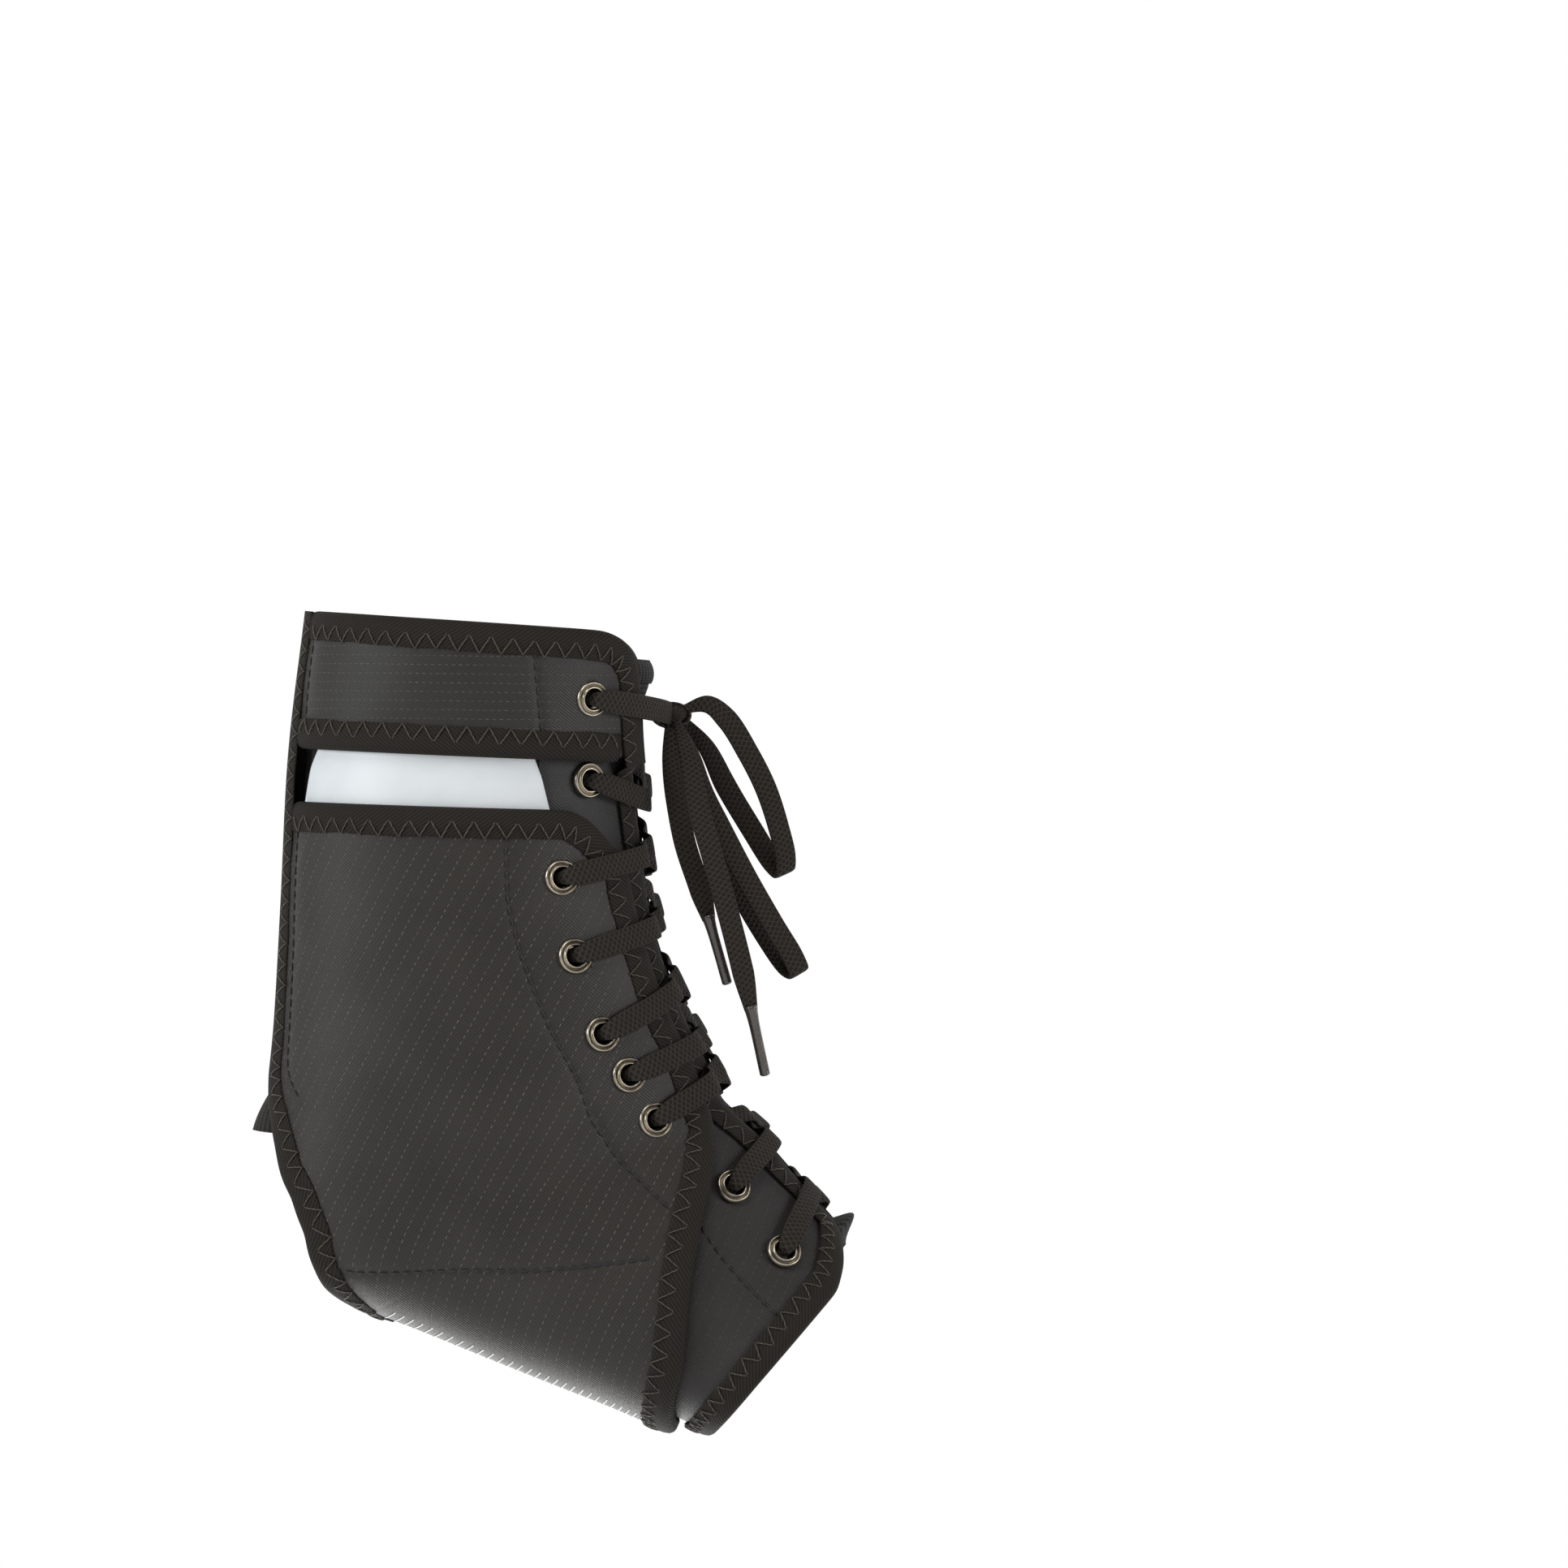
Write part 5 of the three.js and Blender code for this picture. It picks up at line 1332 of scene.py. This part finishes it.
class HalfLace:
    """Collects the stations of one half lace: centre, across, through, width and thickness."""

    def __init__(self, first_side, leader):
        self.side = first_side
        self.leader = leader
        self.rings = []
        self.spin = 1
        lowest = len(EYELETS) - 1
        along, around = EYELETS[lowest]
        reach = around * FORM.girth(along)
        bar = [(along, d, lift, LACE_WIDTH) for d, lift in
               ((0.2, -0.4), (6, -0.9), (10, UNDER), (reach * 0.6, UNDER), (reach - 3.5, UNDER))]
        self.lead = self.points(bar)
        self.lay(bar, self.lead[0], self.centre(lowest), -1)
        for index in range(lowest, -1, -1):
            self.climb(index)

    def points(self, stations):
        return np.array([FORM.on(a, d / FORM.girth(a), lift, self.side) for a, d, lift, _ in stations])

    def centre(self, index, lift=0.0):
        return FORM.on(*EYELETS[index], lift, self.side)

    def lay(self, stations, before, after, hand):
        """Stations of a run that lies flat on the form's shape."""
        places = self.points(stations)
        run = np.vstack([before, places, after])
        for i, (a, d, _, width) in enumerate(stations):
            normal = FORM.normal(a, d / FORM.girth(a), self.side)
            across = unit(np.cross(normal, run[i + 2] - run[i])) * hand
            self.rings.append(np.concatenate([places[i], across, normal * -hand, [width, LACE_THICKNESS]]))

    def throat(self, index, inward, outward):
        """Four stations through an eyelet, narrow and folded, turning the lace over once."""
        normal = FORM.normal(*EYELETS[index], self.side)
        top = layer_top(index) + EYELET_SEAT + EYELET_RISE
        for height, push, share, tilt, width, thick in (
                (UNDER + 0.4, 0.7, 0.0, 45, 3.6, 1.1), (-0.2, 0.0, 0.3, 0, 3.2, 1.3),
                (top - 0.4, 0.0, 0.7, 0, 3.2, 1.3), (top + 0.45, 0.7, 1.0, -45, 4.2, 1.1)):
            face = unit(-inward * (1 - share) + outward * share)
            where = self.centre(index) + normal * height + face * push
            through = face * np.cos(np.radians(tilt)) + normal * np.sin(np.radians(tilt))
            across = unit(np.cross(normal, face))
            directions = [across * self.spin, through * self.spin]
            self.rings.append(np.concatenate([where, *directions, [width, thick]]))

    def leg(self, index):
        """Stations from one eyelet across to under the next one up on the other side."""
        along, around = EYELETS[index]
        above, above_around = EYELETS[index - 1]
        start, finish = around * FORM.girth(along), -above_around * FORM.girth(above)
        high = OVER_OVERLAY if EYELET_IN_OVERLAY[index] else OVER_BASE
        edge = OVER_OVERLAY if along < BAND_END else OVER_BASE
        crossing = CROSSINGS[index]
        below, before = FORM.on(crossing + 0.01, 0.0, 0.0), FORM.on(crossing - 0.01, 0.0, 0.0)
        per_along = np.linalg.norm(below - before) / 0.02
        offset = CROSSING_OFFSET if self.leader else -CROSSING_OFFSET
        gap = FRONT_HALF_GAP

        def middle(d):
            return crossing + CROSSING_SLOPE / per_along * (d - offset)

        def along_at(d):
            if d > gap:
                return middle(gap) + (along - middle(gap)) * (d - gap) / (start - gap)
            if d < -gap:
                return middle(-gap) + (above - middle(-gap)) * (d + gap) / (finish + gap)
            return middle(d)

        rows = [(d, high, LACE_WIDTH) for d in np.linspace(start - 5, 17, 3)]
        rows += [(14.2, edge, LACE_WIDTH), (gap - 1.3, edge, LACE_WIDTH)]
        bed = ((4.5, 1.6), (-1.5, 1.4), (-5, -0.4)) if self.leader else ((5, 0.9), (3, 0.0), (-4.5, 0.0))
        rows += [(d, lift, LACE_WIDTH * 0.9) for d, lift in bed]
        rows += [(-8.2, -1.3, LACE_WIDTH * 0.9)]
        rows += [(d, UNDER, LACE_WIDTH) for d in np.linspace(-10.8, finish + 3.5, 4)]
        return [(along_at(d), d, lift, width) for d, lift, width in rows]

    def last_leg(self):
        """Stations from the top eyelet to the knot."""
        along, around = EYELETS[0]
        start = around * FORM.girth(along)
        ds = np.append(np.linspace(start - 5, FRONT_HALF_GAP, 3), 4.1)
        return [(CROSSINGS[0] + (along - CROSSINGS[0]) * d / start, d, OVER_OVERLAY, LACE_WIDTH) for d in ds]

    def climb(self, index):
        """Through one eyelet and on to the next, which is on the other side."""
        normal = FORM.normal(*EYELETS[index], self.side)
        centre = self.centre(index)
        following = self.leg(index) if index > 0 else self.last_leg()
        ahead = self.points(following)
        inward = centre - self.lead[-1]
        outward = ahead[0] - centre
        inward = unit(inward - normal * (inward @ normal))
        outward = unit(outward - normal * (outward @ normal))
        self.throat(index, inward, outward)
        beyond = ahead[-1]
        if index > 0:
            above, above_around = EYELETS[index - 1]
            beyond = FORM.on(above, -above_around, 0.0, self.side)
        self.lay(following, centre, beyond, self.spin)
        self.side = -self.side
        self.spin = -self.spin
        self.lead = ahead


def soften(rows, spacing, blur):
    """Rows resampled evenly along their path and averaged over a length of blur, in millimetres."""
    length = arc_lengths(rows[:, :3])
    rows = columns_at(np.linspace(0, length[-1], int(length[-1] / spacing)), length, rows)
    reach = int(np.ceil(3 * blur / spacing))
    weights = np.exp(-0.5 * (np.arange(-reach, reach + 1) * spacing / blur) ** 2)
    ends = np.repeat(rows[:1], reach, axis=0), np.repeat(rows[-1:], reach, axis=0)
    return blurred(rows, *ends, weights / weights.sum())


def make_half_lace(name, first_side, leader):
    """The braid's section carried along one half lace's stations, softened."""
    rings = soften(smooth_path(np.array(HalfLace(first_side, leader).rings), 7), 0.7, 1.1)
    across = unit(rings[:, 3:6])
    through = rings[:, 6:9] - across * np.sum(rings[:, 6:9] * across, axis=1, keepdims=True)
    points, faces, uv, caps = strip_mesh(rings[:, :3], across, unit(through), rings[:, 9], rings[:, 10],
                                         strip_section())
    return make_piece(name, points, faces, BRAID, uv, caps, [name])


make_half_lace("lace_from_near", -1, True)
make_half_lace("lace_from_far", 1, False)

# Stitches at the sole
# Pale stitches where the pocket panel comes round onto the sole, seen edge-on below. They are sewn
# through the panel, with both ends in the cloth.
DASH_STEP = 0.0074
DASH_WIDTH = 0.4


def side_of_sole(along, rise):
    """Shares around at which the panel stands a rise above the sole, seen from the side."""
    around = np.linspace(1.0, 0.6, 81)
    places = FORM.on(along[:, None], around[None], OVERLAY_TOP)
    rises = np.linalg.norm((places - places[:, :1])[..., [0, 2]], axis=-1)
    return np.array([np.interp(wanted, row, around) for wanted, row in zip(rise, rises)])


def sole_dashes(side):
    """Flat dashes that bend round the edge of the sole and dip into the cloth at both ends."""
    along = np.arange(0.700, 0.925, DASH_STEP)
    length = np.linspace(4.2, 2.2, len(along))
    rows = np.array([side_of_sole(along, 0.1 + (length - 0.1) * share) for share in np.linspace(0, 1, 9)])
    lift = np.array([-0.2, 0.1, 0.1, 0.1, 0.1, 0.1, 0.1, 0.1, -0.2])
    widths = np.full(len(rows), DASH_WIDTH)
    parts = []
    for place, around in zip(along, rows.T):
        level = np.full(len(around), place)
        centres = FORM.on(level, around, pocket_height(level, around) + lift, side)
        normal = FORM.normal(level, around, side)
        across = unit(np.cross(normal, np.gradient(centres, axis=0)))
        parts.append(strip_mesh(centres, across, normal, widths, widths / 2, strip_section(8)))
    return parts


def pale_thread_material():
    """Off-white thread, uneven along its length."""
    material, tree, shader = new_material("pale_thread", (0.55, 0.55, 0.52), 0.6)
    paint(tree, shader, noise(tree, cloth_place(tree), 0.8), (0.45, 0.45, 0.42), (0.80, 0.80, 0.76))
    return material


PALE_THREAD = pale_thread_material()
for label, side in SIDES:
    make_thread(f"sole_dashes_{label}", sole_dashes(side), PALE_THREAD)

# Studio
# A white paper sweep under and behind the brace, a room that is brighter above, soft lights from
# both sides and above, and a small one that catches the edge of the sole.
FLOOR_HEIGHT = -0.16
SWEEP_RADIUS = 1.5


def make_sweep():
    """A strip of paper: level under the brace, then a quarter circle up behind it."""
    turn = np.linspace(0, np.pi / 2, 33)
    y = np.concatenate([[-4.0], 1.0 + SWEEP_RADIUS * np.sin(turn), [1.0 + SWEEP_RADIUS]])
    z = np.concatenate([[0.0], SWEEP_RADIUS * (1 - np.cos(turn)), [4.0]]) + FLOOR_HEIGHT
    points = np.concatenate([np.stack([np.full(len(y), x), y, z], axis=1) for x in (-4.0, 4.0)])
    faces, _ = grid_faces(2, len(y), False)
    mesh = bpy.data.meshes.new("paper_sweep")
    mesh.from_pydata(points.tolist(), [], faces.tolist())
    mesh.polygons.foreach_set("use_smooth", np.ones(len(mesh.polygons), dtype=bool))
    material, _, shader = new_material("paper", (0.0, 0.0, 0.0), 1.0, specular=0.0)
    shader.inputs["Emission Color"].default_value = (1.0, 1.0, 1.0, 1.0)
    shader.inputs["Emission Strength"].default_value = 1.0
    material.cycles.emission_sampling = "NONE"
    mesh.materials.append(material)
    sweep = bpy.data.objects.new("paper_sweep", mesh)
    bpy.context.scene.collection.objects.link(sweep)


def make_light(name, location, aim, size, power, color):
    data = bpy.data.lights.new(name, "AREA")
    data.shape = "DISK"
    data.size = size
    data.energy = power
    data.color = color
    light = bpy.data.objects.new(name, data)
    light.location = location
    way = unit(np.array(aim, dtype=float) - np.array(location, dtype=float))
    light.rotation_euler = (np.arccos(-way[2]), 0.0, np.arctan2(-way[0], way[1]))
    bpy.context.scene.collection.objects.link(light)


def make_world():
    """A white room whose light fades from above to below."""
    world = bpy.data.worlds.new("studio")
    world.use_nodes = True
    tree = world.node_tree
    split = tree.nodes.new("ShaderNodeSeparateXYZ")
    tree.links.new(tree.nodes.new("ShaderNodeTexCoord").outputs["Generated"], split.inputs[0])
    strength = tree.nodes.new("ShaderNodeMapRange")
    tree.links.new(split.outputs["Z"], strength.inputs["Value"])
    strength.inputs["From Min"].default_value = -0.2
    strength.inputs["From Max"].default_value = 0.9
    strength.inputs["To Min"].default_value = 0.2
    strength.inputs["To Max"].default_value = 0.9
    tree.links.new(strength.outputs["Result"], tree.nodes["Background"].inputs["Strength"])
    bpy.context.scene.world = world


make_sweep()
make_world()
make_light("left", (-1.3, -0.7, 0.5), (0.02, 0.0, 0.0), 0.7, 13.5, (0.93, 0.97, 1.0))
make_light("right", (1.4, -0.6, 0.4), (0.02, 0.0, 0.0), 0.7, 10.5, (0.97, 0.98, 1.0))
make_light("top", (-0.2, -0.8, 1.3), (0.02, 0.0, 0.0), 0.9, 10.5, (1.0, 0.98, 0.95))
make_light("low", (-0.01, 0.06, -0.155), (-0.01, 0.0, -0.05), 0.2, 0.26, (1.0, 1.0, 1.0))
bpy.context.scene.view_settings.view_transform = "Standard"
